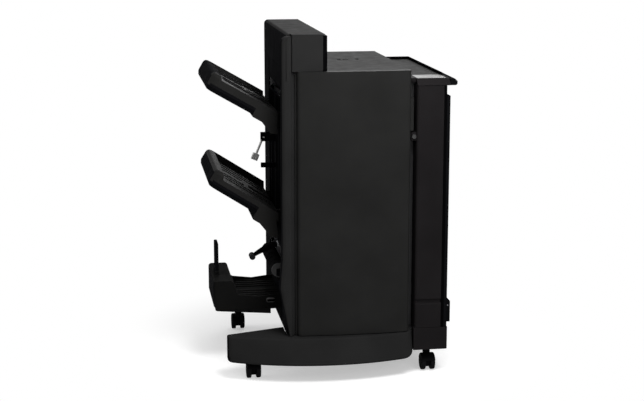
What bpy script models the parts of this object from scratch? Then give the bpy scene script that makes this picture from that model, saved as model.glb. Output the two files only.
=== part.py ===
"""Booklet maker: a floor-standing copier finisher that staples sheets and folds booklets.

Metres, +Z up. The front door faces -Y, sheets enter from the +X side and leave on the -X side.
The origin is on the floor, under the middle of the whole machine.
"""
import math

import bmesh
import bpy
from mathutils import Matrix, Vector

for old in list(bpy.data.objects):
    bpy.data.objects.remove(old, do_unlink=True)

# Main sizes
OVERALL_DEPTH = 0.656
CABINET_WIDTH = 0.487
BASE_TOP = 0.135
TOWER_RISE = 0.108

# General fits and walls
FIT = 0.0003
OVERRUN = 0.005
SHEET = 0.003
PLATE = 0.003

# Cabinet layout in plan
BASE_BULGE = 0.056
TRAY_REACH = 0.232
GUIDE_REACH = 0.021
TOWER_WIDTH = 0.112
PILLAR_WIDTH = 0.031
PILLAR_OVERHANG = 0.017
PILLAR_DEPTH = 0.030
HINGE_GROOVE = 0.015
GROOVE_DEPTH = 0.010
FINGER_GAP = 0.018
INLET_WIDTH = 0.100
PLATE_SETBACK = 0.057
REAR_BAY = 0.055

# Cabinet top
INLET_DROP = 0.027
DOOR_CLEARANCE = 0.002
LID_THICKNESS = 0.012

# Base covers and beams
SKIRT_BOTTOM = 0.055
REAR_SKIRT_BOTTOM = 0.076
BEAM_BOTTOM = 0.072
BEAM_DEPTH = 0.030
BEAM_END_INSET = 0.014
BOW_DEPTH = 0.079
BOW_TOP_DEPTH = 0.0637
BOW_SETBACK = 0.026
BOW_CENTRE_SHARE = 0.573
LEG_END_INSET = 0.052
LEG_TIP_BACK = 0.058
LEG_ROOT_BACK = 0.112
LEG_CORNER = 0.025
BOW_CORNER = 0.030
COVER_STRIP_DEPTH = 0.031
REAR_STRIP_DEPTH = 0.028
REAR_LEG_DEPTH = 0.090
INLET_BASE_LIFT = 0.020
INLET_BASE_RISE = 0.010
INLET_BASE_OVERHANG = 0.003
INLET_SKIRT = 0.006

# Casters
WHEEL_RADIUS = 0.025
WHEEL_WIDTH = 0.014
WHEEL_CHAMFER = 0.0015
CASTER_WIDTH = 0.043
CASTER_TRAIL = 0.014
AXLE_RADIUS = 0.004
WEB_WIDTH = 0.013
WEB_RADIUS = 0.015
HOOD_CLEARANCE = 0.0007
HOOD_THICKNESS = 0.0018
HOOD_START = math.radians(20)
HOOD_SWEEP = math.radians(140)
NECK_RADIUS = 0.0115
LEFT_CASTER_INSET = 0.130
RIGHT_CASTER_INSET = 0.050
FRONT_SWIVEL_INSET = 0.055
REAR_SWIVEL_INSET = 0.054

# Front door
DOOR_THICKNESS = 0.028
DOOR_BOW = 0.008
DOOR_EDGE = 0.003
DOOR_FRAME = 0.018
DOOR_PIVOT_X = 0.008
DOOR_PIVOT_Y = 0.012
PIN_RADIUS = 0.004
PIN_LENGTH = 0.007
PIN_PLAY = 0.0005
GRIP_REACH = 0.009
GRIP_DEPTH = 0.014
GRIP_SETBACK = 0.006
GRIP_DROP = 0.180
GRIP_HEIGHT = 0.098

# Door release button in the finger gap
BUTTON_RADIUS = 0.0065
BUTTON_DROP = 0.018
BUTTON_TRAVEL = 0.003
BUTTON_PROUD = 0.002
BUTTON_LENGTH = 0.016
BUTTON_BLOCK_HEIGHT = 0.024
BUTTON_BLOCK_SETBACK = 0.009

# Front left pillar
PILLAR_TOP_GAP = 0.006
PILLAR_FLARE = 0.007
PILLAR_FLARE_RISE = 0.147
PILLAR_TAPER_LENGTH = 0.093
PILLAR_FOOT_WIDTH = 0.009
PILLAR_ROUND = 0.020

# Tower
TOWER_ROUND = 0.014

# Delivery side: wall panels, slots and stays
SLOT_WIDTH = 0.014
SLOT_SPAN = 0.300
TRAY_CENTRE_Y = 0.038
UPPER_EXIT_RISE = 0.0225
UPPER_EXIT_OPENING = 0.030
WALL_ABOVE_EXIT = 0.064
BOOKLET_EXIT_RISE = 0.115
BOOKLET_EXIT_OPENING = 0.120
PANEL_FLANGE = 0.011
RAIL_WIDTH = 0.012
RAIL_DEPTH = 0.010
STAY_SIZE = 0.020
STAY_LIFT = 0.002
MIDDLE_STAY_RISE = 0.044

# Output trays
TRAY_WIDTH = 0.420
TRAY_GAP = 0.015
TRAY_SHELL = 0.040
UNDERCOVER = 0.015
UNDERCOVER_INSET = 0.012
TRAY_ROOT_DEPTH = 0.080
LOWER_ROOT_DEPTH = 0.098
TRAY_CORNER = 0.026
UPPER_TRAY_SLOPE = math.radians(30.1)
LOWER_TRAY_SLOPE = math.radians(32.5)
LOWER_TRAY_RISE = 0.146
TRAY_PITCH = 0.2995
TRAY_LIP = 0.004
TRAY_LIP_WIDTH = 0.018
TRAY_KINK = 0.021
TRAY_FOOT_LENGTH = 0.023
TRAY_FOOT_RISE = 0.003
UPPER_BLOCK_LENGTH = 0.056
LOWER_BLOCK_LENGTH = 0.049
UPPER_BLOCK_STEP = 0.0055
LOWER_BLOCK_STEP = 0.019
UPPER_DISH_DEPTH = 0.011
LOWER_DISH_DEPTH = 0.018
DISH_MARGIN = 0.016
NOTCH_WIDTH = 0.048
NOTCH_LENGTH = 0.072
ARM_HEIGHT = 0.044
ARM_DROP = 0.022
ARM_REACH = 0.0095

# Stack flag between the trays
FLAG_OFFSET = 0.010
FLAG_WIDTH = 0.016
FLAG_HINGE_REACH = 0.038
FLAG_HINGE_DROP = 0.1175
FLAG_HUB_RADIUS = 0.006
FLAG_LENGTH = 0.072
FLAG_LEAN = 0.030
FLAG_THICKNESS = 0.005
FLAG_PAD = 0.020
LUG_THICKNESS = 0.004
LUG_HEIGHT = 0.026
LUG_REACH = 0.046
PIN_STUB = 0.004
PIN_STUB_RADIUS = 0.003
STOPPER_DROP = 0.097
STOPPER_SIZE = 0.014

# Booklet exit roller and its lugs
BOOKLET_ROLLER_RADIUS = 0.0225
BOOKLET_ROLLER_RISE = 0.050
BOOKLET_ROLLER_REACH = 0.008
BOOKLET_SHAFT_RADIUS = 0.004
ROLLER_LUG_REACH = 0.018
ROLLER_LUG_HEIGHT = 0.022
ROLLER_LUG_SETBACK = 0.010
ROLLER_LUG_THICKNESS = 0.006
ROLLER_END_GAP = 0.005

# Booklet press arm
PRESS_PIVOT_INSET = 0.010
PRESS_PIVOT_DROP = 0.018
PRESS_REACH = 0.087
PRESS_DROP = 0.037
PRESS_ARM_WIDTH = 0.010
PRESS_HUB_RADIUS = 0.0065
PRESS_ARM_THICKNESS = 0.009
PRESS_ARM_RISE = 0.010
PRESS_ROLLER_RADIUS = 0.0095
PRESS_ROLLER_WIDTH = 0.010
PRESS_AXLE_RADIUS = 0.0025

# Booklet tray
BOOKLET_TRAY_END = 0.023
BOOKLET_TRAY_WIDTH = 0.240
BOOKLET_TRAY_RISE = 0.041
BOOKLET_TRAY_DEPTH = 0.046
BOOKLET_TRAY_DIP = 0.008
END_WALL_RISE = 0.045
END_WALL_THICKNESS = 0.072
END_WALL_LEAN = 0.012
TRAY_FOOT_STEP = 0.010
STOP_WIDTH = 0.060
STOP_THICKNESS = 0.010
STOP_HEIGHT = 0.101
STOP_INSET = 0.018
STOP_HUB_RADIUS = 0.005
STOP_LUG_WIDTH = 0.008
STOP_LUG_RISE = 0.012
STOP_PIN_RADIUS = 0.0025

# Rollers inside the cabinet
SHAFT_RADIUS = 0.003
SHAFT_PLAY = 0.0004
ROLLER_CHAMFER = 0.001
EXIT_ROLLER_RADIUS = 0.0095
EXIT_ROLLER_INSET = 0.028
INLET_ROLLER_RADIUS = 0.010
INLET_ROLLER_INSET = 0.019
INLET_SLOT_OPENING = 0.030
FOLD_ROLLER_RADIUS = 0.015
FOLD_ROLLER_INSET = 0.118
NIP = 0.0006
ROLLER_MARGIN = 0.040
KNOB_RADIUS = 0.022
KNOB_THICKNESS = 0.014
KNOB_STANDOFF = 0.004
KNOB_GROOVES = 12
KNOB_GROOVE_RADIUS = 0.0022

# Stapler on its rail
STAPLE_RAIL_WIDTH = 0.020
STAPLE_RAIL_THICKNESS = 0.012
STAPLE_RAIL_INSET = 0.054
STAPLE_RAIL_DROP = 0.035
STAPLER_LENGTH = 0.050
STAPLER_WIDTH = 0.062
STAPLER_HEIGHT = 0.070
STAPLER_MOUTH = 0.012
STAPLER_MOUTH_HEIGHT = 0.030
STAPLER_MOUTH_DEPTH = 0.026
STAPLER_MARGIN = 0.020

# Saddle stitcher and drive motor
STITCHER_INSET = 0.178
STITCHER_WIDTH = 0.110
STITCHER_HEIGHT = 0.100
STITCHER_RISE = 0.120
STITCHER_THROAT = 0.014
STITCHER_THROAT_LENGTH = 0.070
STITCHER_BLOCK = 0.044
MOTOR_RADIUS = 0.028
MOTOR_LENGTH = 0.042
MOTOR_OFFSET = 0.070
MOTOR_RISE = 0.030
MOTOR_FLANGE = 0.008
MOTOR_FLANGE_THICKNESS = 0.004

# Inlet side
INLET_STRIP = 0.0105
INLET_LOWER_HEIGHT = 0.077
INLET_BAND_HEIGHT = 0.010
INLET_BAND_RECESS = 0.006
INLET_PANEL_DEPTH = 0.010
INLET_CHAMFER = 0.017
GUIDE_HEIGHT = 0.020
GUIDE_NOSE = 0.004
GUIDE_SLOPE = 0.008
GUIDE_SETBACK = 0.004

# Docking bracket and latch on the inlet side
DOCK_RISE = 0.010
DOCK_HEIGHT = 0.065
DOCK_REACH = 0.0147
DOCK_DEPTH = 0.050
DOCK_SETBACK = 0.022
DOCK_SLOT = 0.0166
LATCH_THICKNESS = 0.016
LATCH_PIVOT_DROP = 0.014
LATCH_PIN_RADIUS = 0.002
LATCH_LENGTH = 0.044
LATCH_WIDTH = 0.008
LATCH_HOOK = 0.0035

# Power inlet at the back
SOCKET_WIDTH = 0.034
SOCKET_HEIGHT = 0.026
SOCKET_DEPTH = 0.024
SOCKET_RECESS = 0.014
SOCKET_INSET = 0.079
SOCKET_RISE = 0.045
SOCKET_LIP = 0.004
SOCKET_PIN = 0.002

# Levels worked out from the base upwards
BOOKLET_EXIT_LOW = BASE_TOP + BOOKLET_EXIT_RISE
BOOKLET_EXIT_HIGH = BOOKLET_EXIT_LOW + BOOKLET_EXIT_OPENING
BOOKLET_ROLLER_HEIGHT = BOOKLET_EXIT_LOW + BOOKLET_ROLLER_RISE
PRESS_PIVOT_HEIGHT = BOOKLET_EXIT_HIGH - PRESS_PIVOT_DROP
LOWER_TRAY_HEIGHT = BOOKLET_EXIT_HIGH + LOWER_TRAY_RISE
UPPER_TRAY_HEIGHT = LOWER_TRAY_HEIGHT + TRAY_PITCH
UPPER_EXIT_LOW = UPPER_TRAY_HEIGHT + UPPER_EXIT_RISE
UPPER_EXIT_HIGH = UPPER_EXIT_LOW + UPPER_EXIT_OPENING
MAIN_TOP = UPPER_EXIT_HIGH + WALL_ABOVE_EXIT
OVERALL_HEIGHT = MAIN_TOP + TOWER_RISE
INLET_TOP = MAIN_TOP - INLET_DROP
INLET_FRONT_TOP = INLET_TOP - INLET_CHAMFER
INLET_SLOT_HIGH = INLET_TOP - GUIDE_HEIGHT
INLET_SLOT_LOW = INLET_SLOT_HIGH - INLET_SLOT_OPENING
INLET_BASE_BOTTOM = SKIRT_BOTTOM + INLET_BASE_LIFT
INLET_BASE_TOP = BASE_TOP + INLET_BASE_RISE
INLET_BAND_LOW = INLET_BASE_TOP + INLET_LOWER_HEIGHT
INLET_BAND_HIGH = INLET_BAND_LOW + INLET_BAND_HEIGHT
PILLAR_FLARE_HEIGHT = BASE_TOP + PILLAR_FLARE_RISE
PILLAR_TAPER_HEIGHT = PILLAR_FLARE_HEIGHT + PILLAR_TAPER_LENGTH
GRIP_BOTTOM = MAIN_TOP - GRIP_DROP
BUTTON_HEIGHT = GRIP_BOTTOM - BUTTON_DROP
MIDDLE_STAY_HEIGHT = LOWER_TRAY_HEIGHT + MIDDLE_STAY_RISE
FLAG_HINGE_HEIGHT = UPPER_TRAY_HEIGHT - FLAG_HINGE_DROP
STOPPER_HEIGHT = FLAG_HINGE_HEIGHT - STOPPER_DROP
BOOKLET_TRAY_BOTTOM = BASE_TOP + BOOKLET_TRAY_RISE
BOOKLET_TRAY_TOP = BOOKLET_TRAY_BOTTOM + BOOKLET_TRAY_DEPTH
END_WALL_TOP = BOOKLET_TRAY_TOP + END_WALL_RISE
STOP_TOP = END_WALL_TOP + STOP_HEIGHT
FOLD_ROLLER_HEIGHT = BOOKLET_ROLLER_HEIGHT
STITCHER_BASE = FOLD_ROLLER_HEIGHT + STITCHER_RISE
MOTOR_HEIGHT = FOLD_ROLLER_HEIGHT + MOTOR_RISE
STAPLE_RAIL_HEIGHT = MAIN_TOP - STAPLE_RAIL_DROP
DOCK_BOTTOM = INLET_BASE_TOP + DOCK_RISE
SOCKET_BASE = BASE_TOP + SOCKET_RISE

# Places in plan worked out from the sizes above
OVERALL_WIDTH = TRAY_REACH + CABINET_WIDTH + GUIDE_REACH
LEFT = -OVERALL_WIDTH / 2
RIGHT = OVERALL_WIDTH / 2
FRONT = -OVERALL_DEPTH / 2
REAR = OVERALL_DEPTH / 2
DOOR_FACE = FRONT + BASE_BULGE
DELIVERY_FACE = LEFT + TRAY_REACH
DELIVERY_INSIDE = DELIVERY_FACE + SHEET
TOWER_RIGHT = DELIVERY_FACE + TOWER_WIDTH
PILLAR_LEFT = DELIVERY_FACE - PILLAR_OVERHANG
PILLAR_RIGHT = PILLAR_LEFT + PILLAR_WIDTH
PILLAR_BACK = DOOR_FACE + PILLAR_DEPTH
DOOR_LEFT = PILLAR_RIGHT + HINGE_GROOVE
INLET_FACE = RIGHT - GUIDE_REACH
INLET_LEFT = INLET_FACE - INLET_WIDTH
DOOR_RIGHT = INLET_LEFT - FINGER_GAP
DOOR_BACK = DOOR_FACE + DOOR_THICKNESS
DOOR_LOW = BASE_TOP + DOOR_CLEARANCE
DOOR_AXIS_X = DOOR_LEFT + DOOR_PIVOT_X
DOOR_AXIS_Y = DOOR_FACE + DOOR_PIVOT_Y
PLATE_FRONT = DOOR_FACE + PLATE_SETBACK
PLATE_FRONT_BACK = PLATE_FRONT + PLATE
PLATE_REAR = REAR - REAR_BAY - PLATE
PLATE_REAR_BACK = PLATE_REAR + PLATE
REAR_COVER_FACE = REAR - SHEET
SLOT_FRONT_Y = TRAY_CENTRE_Y - SLOT_SPAN / 2
SLOT_REAR_Y = TRAY_CENTRE_Y + SLOT_SPAN / 2
INSIDE_LEFT = DELIVERY_INSIDE + FIT
INSIDE_RIGHT = INLET_FACE - SHEET - FIT
LID_UNDERSIDE = MAIN_TOP - LID_THICKNESS
INLET_UNDERSIDE = INLET_TOP - LID_THICKNESS
TRAY_END_X = DELIVERY_FACE - TRAY_GAP
STAY_X = DELIVERY_FACE + SHEET + PANEL_FLANGE + FIT
FLAG_Y = TRAY_CENTRE_Y - FLAG_OFFSET
BOOKLET_TRAY_FRONT = FLAG_Y - BOOKLET_TRAY_WIDTH / 2
FOLD_ROLLER_X = DELIVERY_FACE + FOLD_ROLLER_INSET
STITCHER_X = DELIVERY_FACE + STITCHER_INSET
MOTOR_X = STITCHER_X + MOTOR_OFFSET
SOCKET_X = INLET_FACE - SOCKET_INSET

# Colours, roughness and metallic value of each material
MATERIALS = {
    "cover_black": ((0.016, 0.016, 0.016), 0.42, 0.0),
    "door_black": ((0.018, 0.018, 0.0175), 0.38, 0.0),
    "wall_black": ((0.004, 0.004, 0.005), 0.55, 0.0),
    "top_black": ((0.03, 0.03, 0.03), 0.35, 0.0),
    "tray_black": ((0.02, 0.02, 0.02), 0.45, 0.0),
    "sheet_steel": ((0.45, 0.46, 0.47), 0.35, 1.0),
    "shaft_steel": ((0.6, 0.6, 0.61), 0.22, 1.0),
    "roller_rubber": ((0.03, 0.03, 0.032), 0.8, 0.0),
    "roller_grey": ((0.3, 0.3, 0.3), 0.6, 0.0),
    "flag_grey": ((0.45, 0.45, 0.44), 0.4, 0.0),
    "caster_black": ((0.01, 0.01, 0.01), 0.5, 0.0),
    "wheel_grey": ((0.05, 0.05, 0.05), 0.6, 0.0),
}


def material(name):
    """One Principled material for each name, made once."""
    found = bpy.data.materials.get(name)
    if found:
        return found
    colour, roughness, metallic = MATERIALS[name]
    made = bpy.data.materials.new(name)
    made.use_nodes = True
    shader = made.node_tree.nodes["Principled BSDF"]
    shader.inputs["Base Color"].default_value = (*colour, 1.0)
    shader.inputs["Roughness"].default_value = roughness
    shader.inputs["Metallic"].default_value = metallic
    made.diffuse_color = (*colour, 1.0)
    return made


def mesh_object(name, shape, look=None):
    """Turns a bmesh into a named object, with its faces pointing out."""
    bmesh.ops.recalc_face_normals(shape, faces=shape.faces)
    mesh = bpy.data.meshes.new(name)
    shape.to_mesh(mesh)
    shape.free()
    made = bpy.data.objects.new(name, mesh)
    bpy.context.collection.objects.link(made)
    if look:
        mesh.materials.append(material(look))
    return made


def axis_frame(axis):
    """Matrix that takes an outline's (u, v, along) to the world for an extrusion axis."""
    columns = {
        "X": ((0, 0, 1), (1, 0, 0), (0, 1, 0)),
        "Y": ((1, 0, 0), (0, 0, 1), (0, 1, 0)),
        "Z": ((1, 0, 0), (0, 1, 0), (0, 0, 1)),
    }
    rows = columns[axis]
    return Matrix(rows)


def lofted(name, outlines, look=None):
    """Joins closed outlines of equal count, each a list of 3-D points, into one closed body."""
    shape = bmesh.new()
    rings = [[shape.verts.new(point) for point in outline] for outline in outlines]
    for low, high in zip(rings, rings[1:]):
        count = len(low)
        for index in range(count):
            after = (index + 1) % count
            shape.faces.new((low[index], low[after], high[after], high[index]))
    shape.faces.new(list(reversed(rings[0])))
    shape.faces.new(rings[-1])
    return mesh_object(name, shape, look)


def prism(name, outline, axis, start, end, look=None):
    """Extrudes a flat outline along an axis. Outlines are (y, z) for X, (x, z) for Y, (x, y) for Z."""
    frame = axis_frame(axis)
    rings = [[frame @ Vector((u, v, along)) for u, v in outline] for along in (start, end)]
    return lofted(name, rings, look)


def box(name, low, high, look=None):
    """A box between two corners."""
    outline = [(low[0], low[1]), (high[0], low[1]), (high[0], high[1]), (low[0], high[1])]
    return prism(name, outline, "Z", low[2], high[2], look)


def circle(centre, radius, count):
    """Points of a round outline."""
    turn = 2 * math.pi / count
    return [
        (centre[0] + radius * math.cos(turn * step), centre[1] + radius * math.sin(turn * step))
        for step in range(count)
    ]


def rod(name, axis, centre, radius, start, end, look=None, count=16):
    """A plain round bar along an axis."""
    return prism(name, circle(centre, radius, count), axis, start, end, look)


def turned(name, axis, centre, profile, look=None, count=20):
    """A turned solid: the profile is a list of (along, radius), its ends closed by flat faces."""
    frame = axis_frame(axis)
    rings = [
        [frame @ Vector((u, v, along)) for u, v in circle(centre, radius, count)]
        for along, radius in profile
    ]
    return smooth(lofted(name, rings, look))


def rounded(points, radii, steps=4):
    """Rounds the corners of a flat outline: one radius for each point, zero for a sharp corner."""
    result = []
    count = len(points)
    for index, corner in enumerate(points):
        radius = radii[index]
        here = Vector(corner)
        if radius == 0:
            result.append(tuple(here))
            continue
        back = (Vector(points[index - 1]) - here).normalized()
        ahead = (Vector(points[(index + 1) % count]) - here).normalized()
        half = back.angle(ahead) / 2
        centre = here + (back + ahead).normalized() * (radius / math.sin(half))
        first = here + back * (radius / math.tan(half)) - centre
        last = here + ahead * (radius / math.tan(half)) - centre
        sweep = first.angle_signed(last)
        for step in range(steps + 1):
            share = step / steps
            turn = Matrix.Rotation(-sweep * share, 2)
            result.append(tuple(centre + turn @ first))
    return result


def smooth(made, limit=math.radians(35)):
    """Shades round faces smooth and keeps sharp edges sharp."""
    made.data.shade_smooth()
    made.data.set_sharp_from_angle(angle=limit)
    return made


def combine(target, tool, operation):
    """Adds a Boolean modifier and hides its tool."""
    step = target.modifiers.new(operation.title(), "BOOLEAN")
    step.operation = operation
    step.solver = "EXACT"
    step.object = tool
    tool.hide_render = True
    tool.display_type = "WIRE"
    return target


def cut(target, tool):
    """Removes one solid from another."""
    return combine(target, tool, "DIFFERENCE")


def join(target, tool):
    """Welds one solid to another."""
    return combine(target, tool, "UNION")


def keep_common(target, tool):
    """Keeps only what two solids share."""
    return combine(target, tool, "INTERSECT")


def carried(name, axis_point, pieces):
    """Parents the pieces of a moving body to an empty on its joint's axis."""
    pivot = bpy.data.objects.new(name + "_pivot", None)
    pivot.empty_display_size = SHEET
    pivot.location = axis_point
    bpy.context.collection.objects.link(pivot)
    for piece in pieces:
        piece.parent = pivot
        piece.matrix_parent_inverse = Matrix.Translation(axis_point).inverted()
    return pivot


# Base: bowed covers with two legs, and the steel beams that carry the casters
LEG_END = LEFT + LEG_END_INSET
FRONT_SWIVEL_Y = DOOR_FACE + FRONT_SWIVEL_INSET
REAR_SWIVEL_Y = REAR - REAR_SWIVEL_INSET
LEFT_SWIVEL_X = LEFT + LEFT_CASTER_INSET
RIGHT_SWIVEL_X = INLET_FACE - RIGHT_CASTER_INSET
LEG_ROOT = DELIVERY_FACE - FIT
STRIP_BACK = DOOR_FACE + COVER_STRIP_DEPTH
COVER_RIGHT = INLET_LEFT - SHEET
BEAM_TOP = BASE_TOP - PLATE - FIT
LEG_TOP = BASE_TOP - FIT
FLOOR_FRONT = STRIP_BACK + FIT


def bow_outline(height_share, inset, open_by):
    """Plan of the front base cover at a level, drawn in by a wall and opened at its hidden sides."""
    apex = FRONT + BOW_SETBACK * height_share + inset
    depth = BOW_DEPTH + (BOW_TOP_DEPTH - BOW_DEPTH) * height_share
    middle = LEG_END + (COVER_RIGHT - LEG_END) * BOW_CENTRE_SHARE
    radius = ((middle - LEG_END) ** 2 + depth ** 2) / (2 * depth)
    left = LEG_END + inset
    right = COVER_RIGHT - inset

    def bow(x):
        return apex + radius - math.sqrt(radius ** 2 - (x - middle) ** 2)

    arc_start = left + LEG_CORNER
    arc_end = right - BOW_CORNER
    steps = 12
    front = [arc_start + (arc_end - arc_start) * step / steps for step in range(steps + 1)]
    points = [(x, bow(x)) for x in front]
    corner_left = [(left, bow(left))]
    corner_right = [(right, bow(right))]
    back = [
        (right, STRIP_BACK + open_by),
        (LEG_ROOT + open_by, STRIP_BACK + open_by),
        (LEG_ROOT + open_by, DOOR_FACE + LEG_ROOT_BACK - inset),
        (left, DOOR_FACE + LEG_TIP_BACK - inset),
    ]
    outline = corner_left + points + corner_right + back
    radii = [LEG_CORNER - inset] + [0] * len(points) + [BOW_CORNER - inset]
    radii += [0] * len(back)
    return rounded(outline, radii)


def front_base_cover():
    """Bowed cover of the base's front, with the left leg; hollow and open below."""
    levels = ((SKIRT_BOTTOM, 0), (BASE_TOP - FIT, 1))
    outer = [[(x, y, z) for x, y in bow_outline(share, 0, 0)] for z, share in levels]
    cover = lofted("front_base_cover", outer, "cover_black")
    slope = 1 / (BASE_TOP - FIT - SKIRT_BOTTOM)
    hollow_levels = (SKIRT_BOTTOM - OVERRUN, BASE_TOP - SHEET)
    inner = [
        [(x, y, z) for x, y in bow_outline((z - SKIRT_BOTTOM) * slope, SHEET, OVERRUN)]
        for z in hollow_levels
    ]
    cut(cover, lofted("front_base_hollow", inner))
    pin_hole = rod("front_pin_hole", "Z", (DOOR_AXIS_X, DOOR_AXIS_Y), PIN_RADIUS + PIN_PLAY,
                   BASE_TOP - SHEET - OVERRUN, BASE_TOP + OVERRUN)
    cut(cover, pin_hole)
    return smooth(cover)


def rear_base_cover():
    """Cover of the base's rear edge, with the left rear leg; hollow and open below."""
    def plan(inset, open_by):
        points = [
            (LEG_END + inset, REAR - REAR_LEG_DEPTH + inset),
            (LEG_ROOT + open_by, REAR - LEG_ROOT_BACK - REAR_STRIP_DEPTH + inset),
            (LEG_ROOT + open_by, REAR - REAR_STRIP_DEPTH - open_by),
            (INSIDE_RIGHT - inset, REAR - REAR_STRIP_DEPTH - open_by),
            (INSIDE_RIGHT - inset, REAR - inset),
            (LEG_END + inset, REAR - inset),
        ]
        return rounded(points, [LEG_CORNER / 2 - inset, 0, 0, 0, 0, LEG_CORNER - inset])

    cover = prism("rear_base_cover", plan(0, 0), "Z", REAR_SKIRT_BOTTOM, LEG_TOP, "cover_black")
    hollow = prism("rear_base_hollow", plan(SHEET, OVERRUN), "Z", REAR_SKIRT_BOTTOM - OVERRUN,
                   BASE_TOP - SHEET)
    return smooth(cut(cover, hollow))


def inlet_base_cover():
    """Block and side skirt at the foot of the inlet side."""
    right = INLET_FACE + INLET_BASE_OVERHANG
    left = COVER_RIGHT + FIT
    plan = [
        (left, DOOR_FACE),
        (right, DOOR_FACE),
        (right, REAR - REAR_STRIP_DEPTH),
        (right - INLET_SKIRT, REAR - REAR_STRIP_DEPTH),
        (right - INLET_SKIRT, STRIP_BACK),
        (left, STRIP_BACK),
    ]
    plan = rounded(plan, [0, INLET_SKIRT, 0, 0, 0, 0])
    cover = prism("inlet_base_cover", plan, "Z", INLET_BASE_BOTTOM, INLET_BASE_TOP, "cover_black")
    return smooth(cover)


def base_beams():
    """Two steel channels across the machine, which carry the casters and the floor plate."""
    left = LEFT_SWIVEL_X - BEAM_DEPTH / 2 - BEAM_END_INSET / 2
    right = INSIDE_RIGHT - BEAM_END_INSET
    for name, y in (("front_base_beam", FRONT_SWIVEL_Y), ("rear_base_beam", REAR_SWIVEL_Y)):
        front = y - BEAM_DEPTH / 2
        back = y + BEAM_DEPTH / 2
        channel = [
            (front, BEAM_BOTTOM),
            (back, BEAM_BOTTOM),
            (back, BEAM_TOP),
            (back - PLATE, BEAM_TOP),
            (back - PLATE, BEAM_BOTTOM + PLATE),
            (front + PLATE, BEAM_BOTTOM + PLATE),
            (front + PLATE, BEAM_TOP),
            (front, BEAM_TOP),
        ]
        prism(name, channel, "X", left, right, "sheet_steel")


def caster_fork_mesh():
    """Hooded fork of a twin-wheel caster, its swivel axis at the origin and its top at the beam."""
    axle = (-CASTER_TRAIL, WHEEL_RADIUS)
    half_web = WEB_WIDTH / 2
    neck_top = BEAM_BOTTOM - FIT
    web = [
        (axle[0] - WEB_RADIUS, axle[1]),
        (axle[0] - WEB_RADIUS / 2, axle[1] - WEB_RADIUS),
        (axle[0] + WEB_RADIUS / 2, axle[1] - WEB_RADIUS),
        (axle[0] + WEB_RADIUS, axle[1]),
        (NECK_RADIUS, 2 * WHEEL_RADIUS),
        (NECK_RADIUS, 2 * WHEEL_RADIUS + NECK_RADIUS),
        (-NECK_RADIUS, 2 * WHEEL_RADIUS + NECK_RADIUS),
        (axle[0] - WEB_RADIUS, 2 * WHEEL_RADIUS - SHEET),
    ]
    fork = prism("caster_fork_shape", web, "X", -half_web, half_web, "caster_black")
    inner = WHEEL_RADIUS + HOOD_CLEARANCE
    outer = inner + HOOD_THICKNESS
    steps = 10
    sweep = [HOOD_START + HOOD_SWEEP * step / steps for step in range(steps + 1)]
    hood = [(axle[0] + outer * math.cos(a), axle[1] + outer * math.sin(a)) for a in sweep]
    hood += [
        (axle[0] + inner * math.cos(a), axle[1] + inner * math.sin(a)) for a in reversed(sweep)
    ]
    join(fork, prism("caster_hood_shape", hood, "X", -CASTER_WIDTH / 2, CASTER_WIDTH / 2))
    join(fork, rod("caster_neck_shape", "Z", (0, 0), NECK_RADIUS, 2 * WHEEL_RADIUS, neck_top))
    cut(fork, rod("caster_axle_hole", "X", axle, AXLE_RADIUS + FIT, -CASTER_WIDTH, CASTER_WIDTH,
                  count=12))
    return taken_mesh(fork)


def taken_mesh(made):
    """The finished mesh of an object with its modifiers; the object and its tools are removed."""
    graph = bpy.context.evaluated_depsgraph_get()
    mesh = bpy.data.meshes.new_from_object(made.evaluated_get(graph))
    tools = [step.object for step in made.modifiers]
    for gone in [made] + tools:
        bpy.data.objects.remove(gone, do_unlink=True)
    return mesh


def wheel_pair_mesh():
    """Two wheels on one axle, along X, centred on the axle's middle."""
    half = CASTER_WIDTH / 2
    inner = half - WHEEL_WIDTH
    rim = WHEEL_RADIUS - WHEEL_CHAMFER
    profile = [
        (-half, rim),
        (-half + WHEEL_CHAMFER, WHEEL_RADIUS),
        (-inner - WHEEL_CHAMFER, WHEEL_RADIUS),
        (-inner, rim),
        (-inner, AXLE_RADIUS),
        (inner, AXLE_RADIUS),
        (inner, rim),
        (inner + WHEEL_CHAMFER, WHEEL_RADIUS),
        (half - WHEEL_CHAMFER, WHEEL_RADIUS),
        (half, rim),
    ]
    pair = turned("wheel_pair_shape", "X", (0, 0), profile, "wheel_grey")
    return taken_mesh(pair)


def casters():
    """Four swivel casters; the rear ones trail back and the front ones trail forward."""
    fork_mesh = caster_fork_mesh()
    wheel_mesh = wheel_pair_mesh()
    places = {
        "front_left": (LEFT_SWIVEL_X, FRONT_SWIVEL_Y, 0),
        "front_right": (RIGHT_SWIVEL_X, FRONT_SWIVEL_Y, 0),
        "rear_left": (LEFT_SWIVEL_X, REAR_SWIVEL_Y, math.pi),
        "rear_right": (RIGHT_SWIVEL_X, REAR_SWIVEL_Y, math.pi),
    }
    for place, (x, y, turn) in places.items():
        fork = bpy.data.objects.new(place + "_caster_fork", fork_mesh)
        fork.location = (x, y, 0)
        fork.rotation_euler = (0, 0, turn)
        bpy.context.collection.objects.link(fork)
        wheels = bpy.data.objects.new(place + "_caster_wheels", wheel_mesh)
        wheels.location = (0, -CASTER_TRAIL, WHEEL_RADIUS)
        wheels.parent = fork
        bpy.context.collection.objects.link(wheels)


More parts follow.
